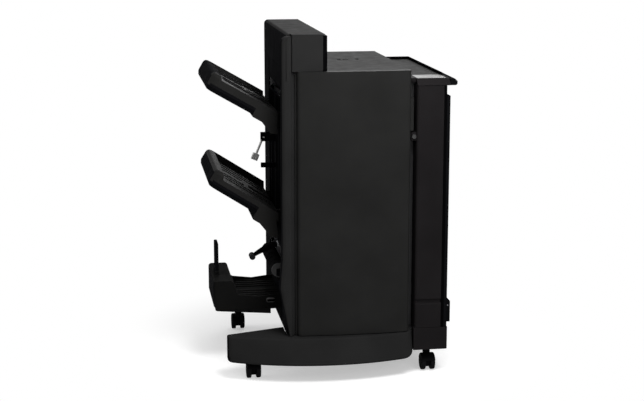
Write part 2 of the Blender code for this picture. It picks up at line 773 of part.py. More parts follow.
# Cabinet: floor plate, side plates and the covers fixed to them
EXIT_ROLLER_X = DELIVERY_FACE + EXIT_ROLLER_INSET
EXIT_NIP_HEIGHT = (UPPER_EXIT_LOW + UPPER_EXIT_HIGH) / 2
INLET_ROLLER_X = INLET_FACE - INLET_ROLLER_INSET
INLET_NIP_HEIGHT = (INLET_SLOT_LOW + INLET_SLOT_HIGH) / 2
ROLLER_PAIRS = {
    "exit_roller": (EXIT_ROLLER_X, EXIT_NIP_HEIGHT, EXIT_ROLLER_RADIUS),
    "inlet_roller": (INLET_ROLLER_X, INLET_NIP_HEIGHT, INLET_ROLLER_RADIUS),
    "fold_roller": (FOLD_ROLLER_X, FOLD_ROLLER_HEIGHT, FOLD_ROLLER_RADIUS),
}


def roller_centres():
    """Name, centre and radius of each roller that turns between the side plates."""
    for name, (x, height, radius) in ROLLER_PAIRS.items():
        offset = radius + NIP / 2
        yield "lower_" + name, (x, height - offset), radius
        yield "upper_" + name, (x, height + offset), radius


def side_plates():
    """Front and rear steel side plates with holes for every roller shaft."""
    step_x = DOOR_RIGHT - SHEET - FIT
    outline = [
        (INSIDE_LEFT, BASE_TOP + FIT),
        (INSIDE_RIGHT, BASE_TOP + FIT),
        (INSIDE_RIGHT, INLET_UNDERSIDE - FIT),
        (step_x, INLET_UNDERSIDE - FIT),
        (step_x, LID_UNDERSIDE - FIT),
        (INSIDE_LEFT, LID_UNDERSIDE - FIT),
    ]
    for name, start in (("front_side_plate", PLATE_FRONT), ("rear_side_plate", PLATE_REAR)):
        plate = prism(name, outline, "Y", start, start + PLATE, "sheet_steel")
        for roller, centre, _ in roller_centres():
            hole = rod(roller + "_hole", "Y", centre, SHAFT_RADIUS + SHAFT_PLAY,
                       start - OVERRUN, start + PLATE + OVERRUN, count=12)
            cut(plate, hole)


def floor_plate():
    """Steel floor of the cabinet, on the two beams."""
    box("floor_plate", (DELIVERY_FACE, FLOOR_FRONT, BASE_TOP - PLATE),
        (INSIDE_RIGHT, REAR - REAR_STRIP_DEPTH - FIT, BASE_TOP), "sheet_steel")


def front_left_pillar():
    """Corner post left of the door: straight above, flared to the left near its foot."""
    top = OVERALL_HEIGHT - PILLAR_TOP_GAP
    foot_left = PILLAR_RIGHT - PILLAR_FOOT_WIDTH
    outline = [
        (foot_left, BASE_TOP + FIT),
        (PILLAR_RIGHT, BASE_TOP + FIT),
        (PILLAR_RIGHT, top),
        (PILLAR_LEFT, top),
        (PILLAR_LEFT, PILLAR_TAPER_HEIGHT),
        (PILLAR_LEFT - PILLAR_FLARE, PILLAR_FLARE_HEIGHT),
    ]
    outline = rounded(outline, [0, 0, 0, PILLAR_ROUND, 0, PILLAR_FLARE])
    post = prism("front_left_pillar", outline, "Y", DOOR_FACE, PILLAR_BACK, "cover_black")
    return smooth(post)


def tower_cover():
    """Hood of the tower above the main top, hollow and open below, for the stapler."""
    plan = [
        (PILLAR_RIGHT + FIT, PILLAR_BACK + FIT),
        (PILLAR_RIGHT + FIT, DOOR_FACE + GROOVE_DEPTH),
        (DOOR_LEFT, DOOR_FACE + GROOVE_DEPTH),
        (DOOR_LEFT, DOOR_FACE),
        (TOWER_RIGHT, DOOR_FACE),
        (TOWER_RIGHT, REAR),
        (DELIVERY_FACE, REAR),
        (DELIVERY_FACE, PILLAR_BACK + FIT),
    ]
    bottom = MAIN_TOP + FIT
    cover = prism("tower_cover", plan, "Z", bottom, OVERALL_HEIGHT, "cover_black")
    front_view = [
        (DELIVERY_FACE - OVERRUN, bottom - OVERRUN),
        (TOWER_RIGHT + OVERRUN, bottom - OVERRUN),
        (TOWER_RIGHT + OVERRUN, OVERALL_HEIGHT),
        (DELIVERY_FACE, OVERALL_HEIGHT),
        (DELIVERY_FACE, OVERALL_HEIGHT - TOWER_ROUND),
        (DELIVERY_FACE - OVERRUN, OVERALL_HEIGHT - TOWER_ROUND),
    ]
    front_view = rounded(front_view, [0, 0, 0, TOWER_ROUND - FIT, 0, 0])
    keep_common(cover, prism("tower_round_guide", front_view, "Y", FRONT, REAR + OVERRUN))
    inner_top = OVERALL_HEIGHT - SHEET
    main_low = (DELIVERY_INSIDE, PILLAR_BACK + SHEET, bottom - OVERRUN)
    main_high = (TOWER_RIGHT - SHEET, REAR_COVER_FACE, inner_top - TOWER_ROUND)
    cut(cover, box("tower_hollow", main_low, main_high))
    nose_low = (DOOR_LEFT + SHEET, DOOR_FACE + SHEET, bottom + SHEET)
    nose_high = (TOWER_RIGHT - SHEET, PILLAR_BACK + SHEET + OVERRUN, inner_top - TOWER_ROUND)
    cut(cover, box("tower_nose_hollow", nose_low, nose_high))
    hole = rod("tower_pin_hole", "Z", (DOOR_AXIS_X, DOOR_AXIS_Y), PIN_RADIUS + PIN_PLAY,
               bottom - OVERRUN, bottom + SHEET + OVERRUN)
    cut(cover, hole)
    return smooth(cover)


def delivery_wall():
    """Left wall of the cabinet: panels with two tall slots and the exits between them."""
    low = BASE_TOP + FIT
    high = MAIN_TOP
    slot = SLOT_WIDTH / 2
    front = box("delivery_front_panel", (DELIVERY_FACE, PILLAR_BACK + FIT, low),
                (DELIVERY_INSIDE, SLOT_FRONT_Y - slot, high), "wall_black")
    rear = box("delivery_rear_panel", (DELIVERY_FACE, SLOT_REAR_Y + slot, low),
               (DELIVERY_INSIDE, REAR_COVER_FACE - FIT, high), "wall_black")
    lug_low = BOOKLET_ROLLER_HEIGHT - ROLLER_LUG_HEIGHT / 2
    for panel, y in ((front, front_lug_y()), (rear, rear_lug_y())):
        lug = box(panel.name + "_lug",
                  (DELIVERY_FACE - ROLLER_LUG_REACH, y, lug_low),
                  (DELIVERY_INSIDE, y + ROLLER_LUG_THICKNESS, lug_low + ROLLER_LUG_HEIGHT))
        join(panel, lug)
        hole = rod(panel.name + "_hole", "Y", booklet_roller_centre(),
                   BOOKLET_SHAFT_RADIUS + SHAFT_PLAY, y - OVERRUN,
                   y + ROLLER_LUG_THICKNESS + OVERRUN, count=12)
        cut(panel, hole)
    middle_front = SLOT_FRONT_Y + slot
    middle_rear = SLOT_REAR_Y - slot
    box("delivery_bottom_panel", (DELIVERY_FACE, middle_front, low),
        (DELIVERY_INSIDE, middle_rear, BOOKLET_EXIT_LOW), "wall_black")
    box("delivery_top_panel", (DELIVERY_FACE, middle_front, UPPER_EXIT_HIGH),
        (DELIVERY_INSIDE, middle_rear, high), "wall_black")
    flange = DELIVERY_INSIDE + PANEL_FLANGE
    channel = [
        (DELIVERY_FACE, middle_front),
        (flange, middle_front),
        (flange, middle_front + SHEET),
        (DELIVERY_INSIDE, middle_front + SHEET),
        (DELIVERY_INSIDE, middle_rear - SHEET),
        (flange, middle_rear - SHEET),
        (flange, middle_rear),
        (DELIVERY_FACE, middle_rear),
    ]
    middle = prism("delivery_middle_panel", channel, "Z", BOOKLET_EXIT_HIGH, UPPER_EXIT_LOW,
                   "wall_black")
    lug_gap = FLAG_WIDTH / 2 + FIT
    for side, inner in (("front", -lug_gap - LUG_THICKNESS), ("rear", lug_gap)):
        y = FLAG_Y + inner
        bottom = FLAG_HINGE_HEIGHT - LUG_HEIGHT / 2
        lug = box("flag_lug_" + side, (DELIVERY_FACE - LUG_REACH, y, bottom),
                  (DELIVERY_INSIDE, y + LUG_THICKNESS, bottom + LUG_HEIGHT))
        join(middle, lug)
    pin = rod("flag_pin_hole", "Y", flag_axis(), PIN_STUB_RADIUS + FIT,
              FLAG_Y - lug_gap - LUG_THICKNESS - OVERRUN,
              FLAG_Y + lug_gap + LUG_THICKNESS + OVERRUN, count=12)
    cut(middle, pin)
    stopper = box("tray_stopper", (DELIVERY_FACE - LUG_REACH, FLAG_Y - STOPPER_SIZE / 2, STOPPER_HEIGHT),
                  (DELIVERY_INSIDE, FLAG_Y + STOPPER_SIZE / 2, STOPPER_HEIGHT + STOPPER_SIZE))
    join(middle, stopper)


def flag_axis():
    """Centre of the stack flag's hinge, as (x, z)."""
    return (DELIVERY_FACE - FLAG_HINGE_REACH, FLAG_HINGE_HEIGHT)


def booklet_roller_centre():
    """Centre of the booklet exit roller, as (x, z)."""
    return (DELIVERY_FACE - BOOKLET_ROLLER_REACH, BOOKLET_ROLLER_HEIGHT)


def front_lug_y():
    """Front face of the lug that carries the booklet exit roller's front end."""
    return SLOT_FRONT_Y - SLOT_WIDTH / 2 - ROLLER_LUG_SETBACK - ROLLER_LUG_THICKNESS


def rear_lug_y():
    """Front face of the lug that carries the booklet exit roller's rear end."""
    return SLOT_REAR_Y + SLOT_WIDTH / 2 + ROLLER_LUG_SETBACK


def lift_rails_and_stays():
    """Rails beside the two slots, and the stays between the side plates."""
    slot = SLOT_WIDTH / 2 + FIT
    low = BASE_TOP + FIT
    high = LID_UNDERSIDE
    spans = {
        "front_lift_rail": (SLOT_FRONT_Y - slot - RAIL_WIDTH, SLOT_FRONT_Y - slot),
        "rear_lift_rail": (SLOT_REAR_Y + slot, SLOT_REAR_Y + slot + RAIL_WIDTH),
    }
    for name, (y_low, y_high) in spans.items():
        box(name, (INSIDE_LEFT, y_low, low), (INSIDE_LEFT + RAIL_DEPTH, y_high, high), "shaft_steel")
    span = (PLATE_FRONT_BACK + FIT, PLATE_REAR - FIT)
    box("middle_stay", (STAY_X, span[0], MIDDLE_STAY_HEIGHT),
        (STAY_X + STAY_SIZE, span[1], MIDDLE_STAY_HEIGHT + STAY_SIZE), "sheet_steel")
    low_stay_z = BOOKLET_EXIT_HIGH + STAY_LIFT
    stay = box("lower_stay", (STAY_X, span[0], low_stay_z),
               (STAY_X + STAY_SIZE, span[1], low_stay_z + STAY_SIZE), "sheet_steel")
    half = PRESS_ARM_WIDTH / 2 + FIT
    pivot = press_pivot()
    for side, inner in (("front", -half - LUG_THICKNESS), ("rear", half)):
        y = FLAG_Y + inner
        reach = pivot[0] - PRESS_HUB_RADIUS
        lug = [
            (reach, pivot[1] - PRESS_HUB_RADIUS),
            (pivot[0] + PRESS_HUB_RADIUS, pivot[1] - PRESS_HUB_RADIUS),
            (STAY_X + STAY_SIZE, low_stay_z + OVERRUN),
            (STAY_X + SHEET, low_stay_z + OVERRUN),
            (reach, pivot[1] + PRESS_HUB_RADIUS),
        ]
        join(stay, prism("press_lug_" + side, lug, "Y", y, y + LUG_THICKNESS))
    cut(stay, rod("press_pin_hole", "Y", pivot, PIN_STUB_RADIUS + FIT,
                  FLAG_Y - half - LUG_THICKNESS - OVERRUN,
                  FLAG_Y + half + LUG_THICKNESS + OVERRUN, count=12))


def rear_cover():
    """Flat rear cover with a window for the power inlet."""
    outline = [
        (DELIVERY_INSIDE, BASE_TOP + FIT),
        (INLET_FACE, BASE_TOP + FIT),
        (INLET_FACE, INLET_UNDERSIDE - FIT),
        (DOOR_RIGHT, INLET_UNDERSIDE - FIT),
        (DOOR_RIGHT, LID_UNDERSIDE - FIT),
        (DELIVERY_INSIDE, LID_UNDERSIDE - FIT),
    ]
    cover = prism("rear_cover", outline, "Y", REAR_COVER_FACE, REAR, "cover_black")
    window = box("socket_window",
                 (SOCKET_X - SOCKET_WIDTH / 2 - FIT, REAR_COVER_FACE - OVERRUN, SOCKET_BASE - FIT),
                 (SOCKET_X + SOCKET_WIDTH / 2 + FIT, REAR + OVERRUN,
                  SOCKET_BASE + SOCKET_HEIGHT + FIT))
    return cut(cover, window)


def power_inlet():
    """Recessed appliance inlet at the back, with three blades."""
    left = SOCKET_X - SOCKET_WIDTH / 2
    right = SOCKET_X + SOCKET_WIDTH / 2
    top = SOCKET_BASE + SOCKET_HEIGHT
    front = REAR - SOCKET_DEPTH
    socket = box("power_inlet", (left, front, SOCKET_BASE), (right, REAR, top), "caster_black")
    flange = box("power_inlet_flange",
                 (left - SOCKET_LIP, REAR_COVER_FACE - FIT - SHEET, SOCKET_BASE - SOCKET_LIP),
                 (right + SOCKET_LIP, REAR_COVER_FACE - FIT, top + SOCKET_LIP))
    join(socket, flange)
    recess = box("power_inlet_recess",
                 (left + SHEET, REAR - SOCKET_RECESS, SOCKET_BASE + SHEET),
                 (right - SHEET, REAR + OVERRUN, top - SHEET))
    cut(socket, recess)
    middle = SOCKET_BASE + SOCKET_HEIGHT / 2
    pitch = (SOCKET_WIDTH - 2 * SHEET) / 4
    for place in (-1, 0, 1):
        x = SOCKET_X + place * pitch
        blade = box("power_inlet_blade_%d" % (place + 2),
                    (x - SOCKET_PIN / 2, REAR - SOCKET_RECESS - SHEET, middle - SOCKET_PIN),
                    (x + SOCKET_PIN / 2, REAR - SHEET, middle + SOCKET_PIN))
        join(socket, blade)
    return socket


def inlet_section():
    """Covers of the inlet side: front panels, side cover, top and the guide along its edge."""
    panel_right = INLET_FACE - INLET_STRIP
    back = DOOR_FACE + INLET_PANEL_DEPTH
    plan = [
        (INLET_LEFT, DOOR_FACE),
        (panel_right - FIT, DOOR_FACE),
        (panel_right - FIT, back),
        (INLET_LEFT + SHEET, back),
        (INLET_LEFT + SHEET, PLATE_FRONT - FIT),
        (INLET_LEFT, PLATE_FRONT - FIT),
    ]
    panel = prism("inlet_front_panel", plan, "Z", INLET_BAND_HIGH, INLET_SLOT_HIGH, "cover_black")
    block_low = BUTTON_HEIGHT - BUTTON_BLOCK_HEIGHT / 2
    block = box("button_block",
                (DOOR_RIGHT + SHEET, DOOR_FACE + BUTTON_BLOCK_SETBACK, block_low),
                (INLET_LEFT + SHEET, PLATE_FRONT - FIT, block_low + BUTTON_BLOCK_HEIGHT))
    join(panel, block)
    cut(panel, rod("button_bore", "Y", button_centre(), BUTTON_RADIUS + FIT,
                   DOOR_FACE - OVERRUN, button_back() + BUTTON_TRAVEL + FIT))
    lower = [
        (DOOR_FACE, INLET_BASE_TOP + FIT),
        (back, INLET_BASE_TOP + FIT),
        (back, INLET_BAND_HIGH - FIT),
        (DOOR_FACE + INLET_BAND_RECESS, INLET_BAND_HIGH - FIT),
        (DOOR_FACE + INLET_BAND_RECESS, INLET_BAND_LOW),
        (DOOR_FACE, INLET_BAND_LOW),
    ]
    prism("inlet_lower_panel", lower, "X", INLET_LEFT, panel_right - FIT, "cover_black")
    side = [
        (panel_right, DOOR_FACE),
        (INLET_FACE, DOOR_FACE),
        (INLET_FACE, REAR_COVER_FACE - FIT),
        (INLET_FACE - SHEET, REAR_COVER_FACE - FIT),
        (INLET_FACE - SHEET, back),
        (panel_right, back),
    ]
    side = rounded(side, [0, SHEET, 0, 0, 0, 0])
    prism("inlet_side_cover", side, "Z", INLET_BASE_TOP + FIT, INLET_SLOT_LOW, "wall_black")
    top = [
        (DOOR_FACE, INLET_SLOT_HIGH + FIT),
        (back, INLET_SLOT_HIGH + FIT),
        (back, INLET_UNDERSIDE),
        (REAR_COVER_FACE - FIT, INLET_UNDERSIDE),
        (REAR_COVER_FACE - FIT, INLET_TOP),
        (DOOR_FACE + INLET_CHAMFER, INLET_TOP),
        (DOOR_FACE, INLET_FRONT_TOP),
    ]
    cover = prism("inlet_top_cover", top, "X", INLET_LEFT, INLET_FACE, "top_black")
    ledge = box("inlet_top_ledge", (DOOR_RIGHT + 2 * FIT, DOOR_BACK + FIT, INLET_UNDERSIDE),
                (INLET_LEFT + OVERRUN, REAR_COVER_FACE - FIT, INLET_TOP))
    join(cover, ledge)
    base = INLET_TOP - GUIDE_HEIGHT
    nose = [
        (INLET_FACE + FIT, base),
        (RIGHT - GUIDE_NOSE, base),
        (RIGHT, base + GUIDE_NOSE),
        (RIGHT, INLET_TOP - GUIDE_SLOPE),
        (RIGHT - GUIDE_SLOPE, INLET_TOP),
        (INLET_FACE + FIT, INLET_TOP),
    ]
    prism("inlet_guide", nose, "Y", DOOR_FACE + GUIDE_SETBACK, REAR_COVER_FACE - FIT, "wall_black")


def button_centre():
    """Centre of the door release button, as (x, z)."""
    return ((DOOR_RIGHT + INLET_LEFT) / 2 + SHEET / 2, BUTTON_HEIGHT)


def button_back():
    """Back end of the door release button at rest."""
    return DOOR_FACE + BUTTON_BLOCK_SETBACK - BUTTON_PROUD - BUTTON_TRAVEL + BUTTON_LENGTH


def door_button():
    """Round button that is pressed into its block to release the door."""
    back = button_back()
    chamfer = ROLLER_CHAMFER
    profile = [
        (back - BUTTON_LENGTH, BUTTON_RADIUS - chamfer),
        (back - BUTTON_LENGTH + chamfer, BUTTON_RADIUS),
        (back, BUTTON_RADIUS),
    ]
    x, z = button_centre()
    button = turned("door_button", "Y", (x, z), profile, "flag_grey", 16)
    carried("door_button", (x, back, z), [button])


# Front door and top cover
def door_plan(inset, back):
    """Plan of the door: a slightly bowed front and softened edges, drawn in by an inset."""
    left = DOOR_LEFT + inset
    right = DOOR_RIGHT - inset
    steps = 10
    front = []
    for step in range(steps + 1):
        share = step / steps
        x = left + (right - left) * share
        y = DOOR_FACE + inset - DOOR_BOW * (1 - (2 * share - 1) ** 2)
        front.append((x, y))
    front[0] = (left, DOOR_FACE + inset + DOOR_EDGE)
    front[-1] = (right, DOOR_FACE + inset + DOOR_EDGE)
    front.insert(1, (left + DOOR_EDGE, DOOR_FACE + inset))
    front.insert(-1, (right - DOOR_EDGE, DOOR_FACE + inset))
    return front + [(right, back), (left, back)]


def front_door():
    """Bowed front door, hollow behind, with pivot pins at its left edge and a grip at its right."""
    skin = prism("front_door", door_plan(0, DOOR_BACK), "Z", DOOR_LOW, MAIN_TOP - FIT, "door_black")
    pocket = box("door_pocket",
                 (DOOR_LEFT + DOOR_FRAME, DOOR_FACE + SHEET, DOOR_LOW + DOOR_FRAME),
                 (DOOR_RIGHT - DOOR_FRAME, DOOR_BACK + OVERRUN, MAIN_TOP - DOOR_FRAME))
    cut(skin, pocket)
    centre = (DOOR_AXIS_X, DOOR_AXIS_Y)
    join(skin, rod("door_lower_pin", "Z", centre, PIN_RADIUS, DOOR_LOW - PIN_LENGTH,
                   DOOR_LOW + OVERRUN, count=12))
    join(skin, rod("door_upper_pin", "Z", centre, PIN_RADIUS, MAIN_TOP - OVERRUN,
                   MAIN_TOP + SHEET, count=12))
    grip_front = DOOR_FACE + GRIP_SETBACK
    grip = [
        (DOOR_RIGHT - OVERRUN, grip_front),
        (DOOR_RIGHT + GRIP_REACH - SHEET, grip_front),
        (DOOR_RIGHT + GRIP_REACH, grip_front + SHEET),
        (DOOR_RIGHT + GRIP_REACH, grip_front + GRIP_DEPTH),
        (DOOR_RIGHT + GRIP_REACH - SHEET, grip_front + GRIP_DEPTH),
        (DOOR_RIGHT - OVERRUN, grip_front + SHEET),
    ]
    join(skin, prism("door_grip", grip, "Z", GRIP_BOTTOM, GRIP_BOTTOM + GRIP_HEIGHT))
    smooth(skin)
    inner = box("door_inner_panel",
                (DOOR_LEFT + SHEET, DOOR_BACK + FIT, DOOR_LOW + SHEET),
                (DOOR_RIGHT - SHEET, DOOR_BACK + FIT + SHEET, LID_UNDERSIDE - DOOR_CLEARANCE),
                "sheet_steel")
    carried("front_door", (DOOR_AXIS_X, DOOR_AXIS_Y, DOOR_LOW), [skin, inner])


def top_cover():
    """Lid over the paper path, hinged at the rear on a round barrel, with a skirt at its right."""
    left = TOWER_RIGHT + DOOR_CLEARANCE
    radius = LID_THICKNESS / 2
    axis_y = REAR - SHEET - radius - DOOR_CLEARANCE
    axis_z = MAIN_TOP - radius
    steps = 8
    turns = [math.pi * step / steps - math.pi / 2 for step in range(steps + 1)]
    barrel = [
        (axis_y + radius * math.cos(turn), axis_z + radius * math.sin(turn)) for turn in turns
    ]
    front = DOOR_BACK + DOOR_CLEARANCE / 2
    section = barrel + [(front + SHEET, MAIN_TOP), (front, MAIN_TOP - SHEET), (front, LID_UNDERSIDE)]
    lid = prism("top_cover", section, "X", left, DOOR_RIGHT, "top_black")
    skirt = box("top_cover_skirt", (DOOR_RIGHT - SHEET + FIT, front, INLET_TOP + FIT),
                (DOOR_RIGHT, PLATE_REAR, LID_UNDERSIDE + OVERRUN))
    join(lid, skirt)
    smooth(lid)
    carried("top_cover", (left, axis_y, axis_z), [lid])


# Output trays
def tray_profile(height, slope, length, root_depth, block_length, block_step):
    """Side view of a tray shell as (x, z): straight top, raised end lip, deeper block at the root."""
    out = Vector((-math.cos(slope), math.sin(slope)))
    down = Vector((-math.sin(slope), -math.cos(slope)))
    root = Vector((TRAY_END_X, height))
    kink = root + out * TRAY_KINK
    block = root + out * block_length
    tip = root + out * length
    foot = height - root_depth
    thickness = TRAY_SHELL + UNDERCOVER
    return [tuple(point) for point in (
        root,
        Vector((TRAY_END_X, foot)),
        Vector((TRAY_END_X - TRAY_FOOT_LENGTH, foot + TRAY_FOOT_RISE)),
        kink + down * (thickness + block_step),
        block + down * (thickness + block_step),
        block + down * TRAY_SHELL,
        tip + down * TRAY_SHELL,
        tip - down * TRAY_LIP,
        tip - out * TRAY_LIP_WIDTH - down * TRAY_LIP,
        tip - out * (TRAY_LIP_WIDTH + TRAY_LIP),
    )]


def tray_plan(outer_x, inset):
    """Plan of a tray, drawn in at its sides: round outer corners and the stack flag's notch."""
    front = TRAY_CENTRE_Y - TRAY_WIDTH / 2 + inset
    rear = TRAY_CENTRE_Y + TRAY_WIDTH / 2 - inset
    inner = TRAY_END_X + OVERRUN
    notch = TRAY_END_X - NOTCH_LENGTH
    points = [
        (outer_x, front),
        (inner, front),
        (inner, FLAG_Y - NOTCH_WIDTH / 2),
        (notch, FLAG_Y - NOTCH_WIDTH / 2),
        (notch, FLAG_Y + NOTCH_WIDTH / 2),
        (inner, FLAG_Y + NOTCH_WIDTH / 2),
        (inner, rear),
        (outer_x, rear),
    ]
    return rounded(points, [TRAY_CORNER, 0, 0, 0, 0, 0, 0, TRAY_CORNER])


def output_tray(name, height, slope, root_depth, block_length, block_step, dish_depth):
    """A sloping tray with its undercover, and arms that reach through the wall's slots.

    The dish is open at the front and at the wall, so that the rear rim stands above the bed.
    """
    thickness = TRAY_SHELL + UNDERCOVER
    length = (TRAY_END_X - LEFT - thickness * math.sin(UPPER_TRAY_SLOPE)) / math.cos(UPPER_TRAY_SLOPE)
    out = Vector((-math.cos(slope), math.sin(slope)))
    down = Vector((-math.sin(slope), -math.cos(slope)))
    root = Vector((TRAY_END_X, height))
    tip = root + out * length
    outer_x = (tip + down * thickness).x
    span = (TRAY_CENTRE_Y - TRAY_WIDTH / 2 - OVERRUN, TRAY_CENTRE_Y + TRAY_WIDTH / 2 + OVERRUN)
    levels = (height - root_depth - OVERRUN, tip.y + TRAY_SHELL)

    profile = tray_profile(height, slope, length, root_depth, block_length, block_step)
    shell = prism(name, profile, "Y", *span, "tray_black")
    keep_common(shell, prism(name + "_plan", tray_plan(outer_x, 0), "Z", *levels))
    dish_start = root - out * dish_depth
    dish_end = tip - out * (TRAY_LIP_WIDTH + DISH_MARGIN)
    dish = [dish_start - down * dish_depth, dish_start + down * dish_depth,
            dish_end + down * dish_depth, dish_end + out * DISH_MARGIN - down * dish_depth]
    cut(shell, prism(name + "_dish", [tuple(point) for point in dish], "Y",
                     span[0] - OVERRUN, span[1] - OVERRUN - DISH_MARGIN))
    arm_top = height - ARM_DROP
    arm_half = SLOT_WIDTH / 2 - FIT
    for place, y in (("front", SLOT_FRONT_Y), ("rear", SLOT_REAR_Y)):
        arm = box(name + "_arm_" + place,
                  (TRAY_END_X - OVERRUN, y - arm_half, arm_top - ARM_HEIGHT),
                  (DELIVERY_FACE + ARM_REACH, y + arm_half, arm_top))
        join(shell, arm)
    smooth(shell)

    cover_outline = [
        root + out * (block_length + FIT) + down * (TRAY_SHELL + FIT),
        root + out * (block_length + FIT) + down * thickness,
        tip + down * thickness,
        tip + down * (TRAY_SHELL + FIT),
    ]
    under = prism(name + "_undercover", [tuple(p) for p in cover_outline], "Y", *span, "wall_black")
    keep_common(under, prism(name + "_under_plan", tray_plan(outer_x, UNDERCOVER_INSET), "Z", *levels))
    smooth(under)
    carried(name, (TRAY_END_X, TRAY_CENTRE_Y, height), [shell, under])


# Stack flag, press arm and rollers at the delivery side
def stack_flag():
    """Grey paddle that rests on the sheet stack, hung between two lugs of the wall."""
    x, z = flag_axis()
    half = FLAG_WIDTH / 2
    tip = Vector((x - FLAG_LEAN, z - FLAG_LENGTH))
    direction = (tip - Vector((x, z))).normalized()
    across = Vector((-direction.y, direction.x))
    start = Vector((x, z)) + direction * FLAG_HUB_RADIUS / 2
    knee = tip - direction * FLAG_PAD
    blade = [
        start + across * FLAG_THICKNESS / 2,
        start - across * FLAG_THICKNESS / 2,
        knee - across * FLAG_THICKNESS / 2,
        knee - across * FLAG_PAD / 2,
        tip - across * FLAG_PAD / 2,
        tip + across * FLAG_PAD / 2,
        knee + across * FLAG_PAD / 2,
        knee + across * FLAG_THICKNESS / 2,
    ]
    flag = prism("stack_flag", [tuple(p) for p in blade], "Y", FLAG_Y - half, FLAG_Y + half,
                 "flag_grey")
    join(flag, rod("flag_hub", "Y", (x, z), FLAG_HUB_RADIUS, FLAG_Y - half, FLAG_Y + half, count=12))
    stub = half + FIT + PIN_STUB
    join(flag, rod("flag_pin", "Y", (x, z), PIN_STUB_RADIUS, FLAG_Y - stub, FLAG_Y + stub, count=12))
    smooth(flag)
    carried("stack_flag", (x, FLAG_Y, z), [flag])


def press_pivot():
    """Centre of the booklet press arm's pivot, as (x, z)."""
    return (DELIVERY_FACE + PRESS_PIVOT_INSET, PRESS_PIVOT_HEIGHT)


def press_arm():
    """Curved arm above the booklet exit, with a twin roller that lies on the booklets."""
    x, z = press_pivot()
    end = (x - PRESS_REACH, z - PRESS_DROP)
    half = PRESS_ARM_WIDTH / 2
    steps = 6
    upper = []
    lower = []
    for step in range(steps + 1):
        share = step / steps
        rise = PRESS_ARM_RISE * math.sin(math.pi * share)
        centre_x = x - PRESS_REACH * share
        centre_z = z - PRESS_DROP * share + rise
        upper.append((centre_x, centre_z + PRESS_ARM_THICKNESS / 2))
        lower.append((centre_x, centre_z - PRESS_ARM_THICKNESS / 2))
    arm = prism("booklet_press_arm", upper + list(reversed(lower)), "Y", FLAG_Y - half, FLAG_Y + half,
                "tray_black")
    for part, centre, radius in (("hub", (x, z), PRESS_HUB_RADIUS), ("nose", end, PRESS_HUB_RADIUS)):
        join(arm, rod("press_" + part, "Y", centre, radius, FLAG_Y - half, FLAG_Y + half, count=12))
    stub = half + FIT + PIN_STUB
    join(arm, rod("press_pin", "Y", (x, z), PIN_STUB_RADIUS, FLAG_Y - stub, FLAG_Y + stub, count=12))
    cut(arm, rod("press_axle_hole", "Y", end, PRESS_AXLE_RADIUS + FIT, FLAG_Y - half - OVERRUN,
                 FLAG_Y + half + OVERRUN, count=12))
    smooth(arm)
    pivot = carried("booklet_press_arm", (x, FLAG_Y, z), [arm])
    inner = half + FIT
    outer = inner + PRESS_ROLLER_WIDTH
    rim = PRESS_ROLLER_RADIUS - ROLLER_CHAMFER
    profile = [
        (FLAG_Y - outer, rim),
        (FLAG_Y - outer + ROLLER_CHAMFER, PRESS_ROLLER_RADIUS),
        (FLAG_Y - inner, PRESS_ROLLER_RADIUS),
        (FLAG_Y - inner, PRESS_AXLE_RADIUS),
        (FLAG_Y + inner, PRESS_AXLE_RADIUS),
        (FLAG_Y + inner, PRESS_ROLLER_RADIUS),
        (FLAG_Y + outer - ROLLER_CHAMFER, PRESS_ROLLER_RADIUS),
        (FLAG_Y + outer, rim),
    ]
    roller = turned("press_roller", "Y", end, profile, "roller_rubber", 16)
    hub = carried("press_roller", (end[0], FLAG_Y, end[1]), [roller])
    hub.parent = pivot
    hub.matrix_parent_inverse = Matrix.Translation(pivot.location).inverted()


def booklet_exit_roller():
    """Large roller at the booklet exit, on a shaft between the wall's lugs."""
    centre = booklet_roller_centre()
    front = SLOT_FRONT_Y + SLOT_WIDTH / 2 + ROLLER_END_GAP
    rear = SLOT_REAR_Y - SLOT_WIDTH / 2 - ROLLER_END_GAP
    overhang = OVERRUN - SHAFT_PLAY
    rim = BOOKLET_ROLLER_RADIUS - ROLLER_CHAMFER
    profile = [
        (front_lug_y() - overhang, BOOKLET_SHAFT_RADIUS),
        (front, BOOKLET_SHAFT_RADIUS),
        (front, rim),
        (front + ROLLER_CHAMFER, BOOKLET_ROLLER_RADIUS),
        (rear - ROLLER_CHAMFER, BOOKLET_ROLLER_RADIUS),
        (rear, rim),
        (rear, BOOKLET_SHAFT_RADIUS),
        (rear_lug_y() + ROLLER_LUG_THICKNESS + overhang, BOOKLET_SHAFT_RADIUS),
    ]
    roller = turned("booklet_exit_roller", "Y", centre, profile, "roller_grey", 24)
    carried("booklet_exit_roller", (centre[0], FLAG_Y, centre[1]), [roller])


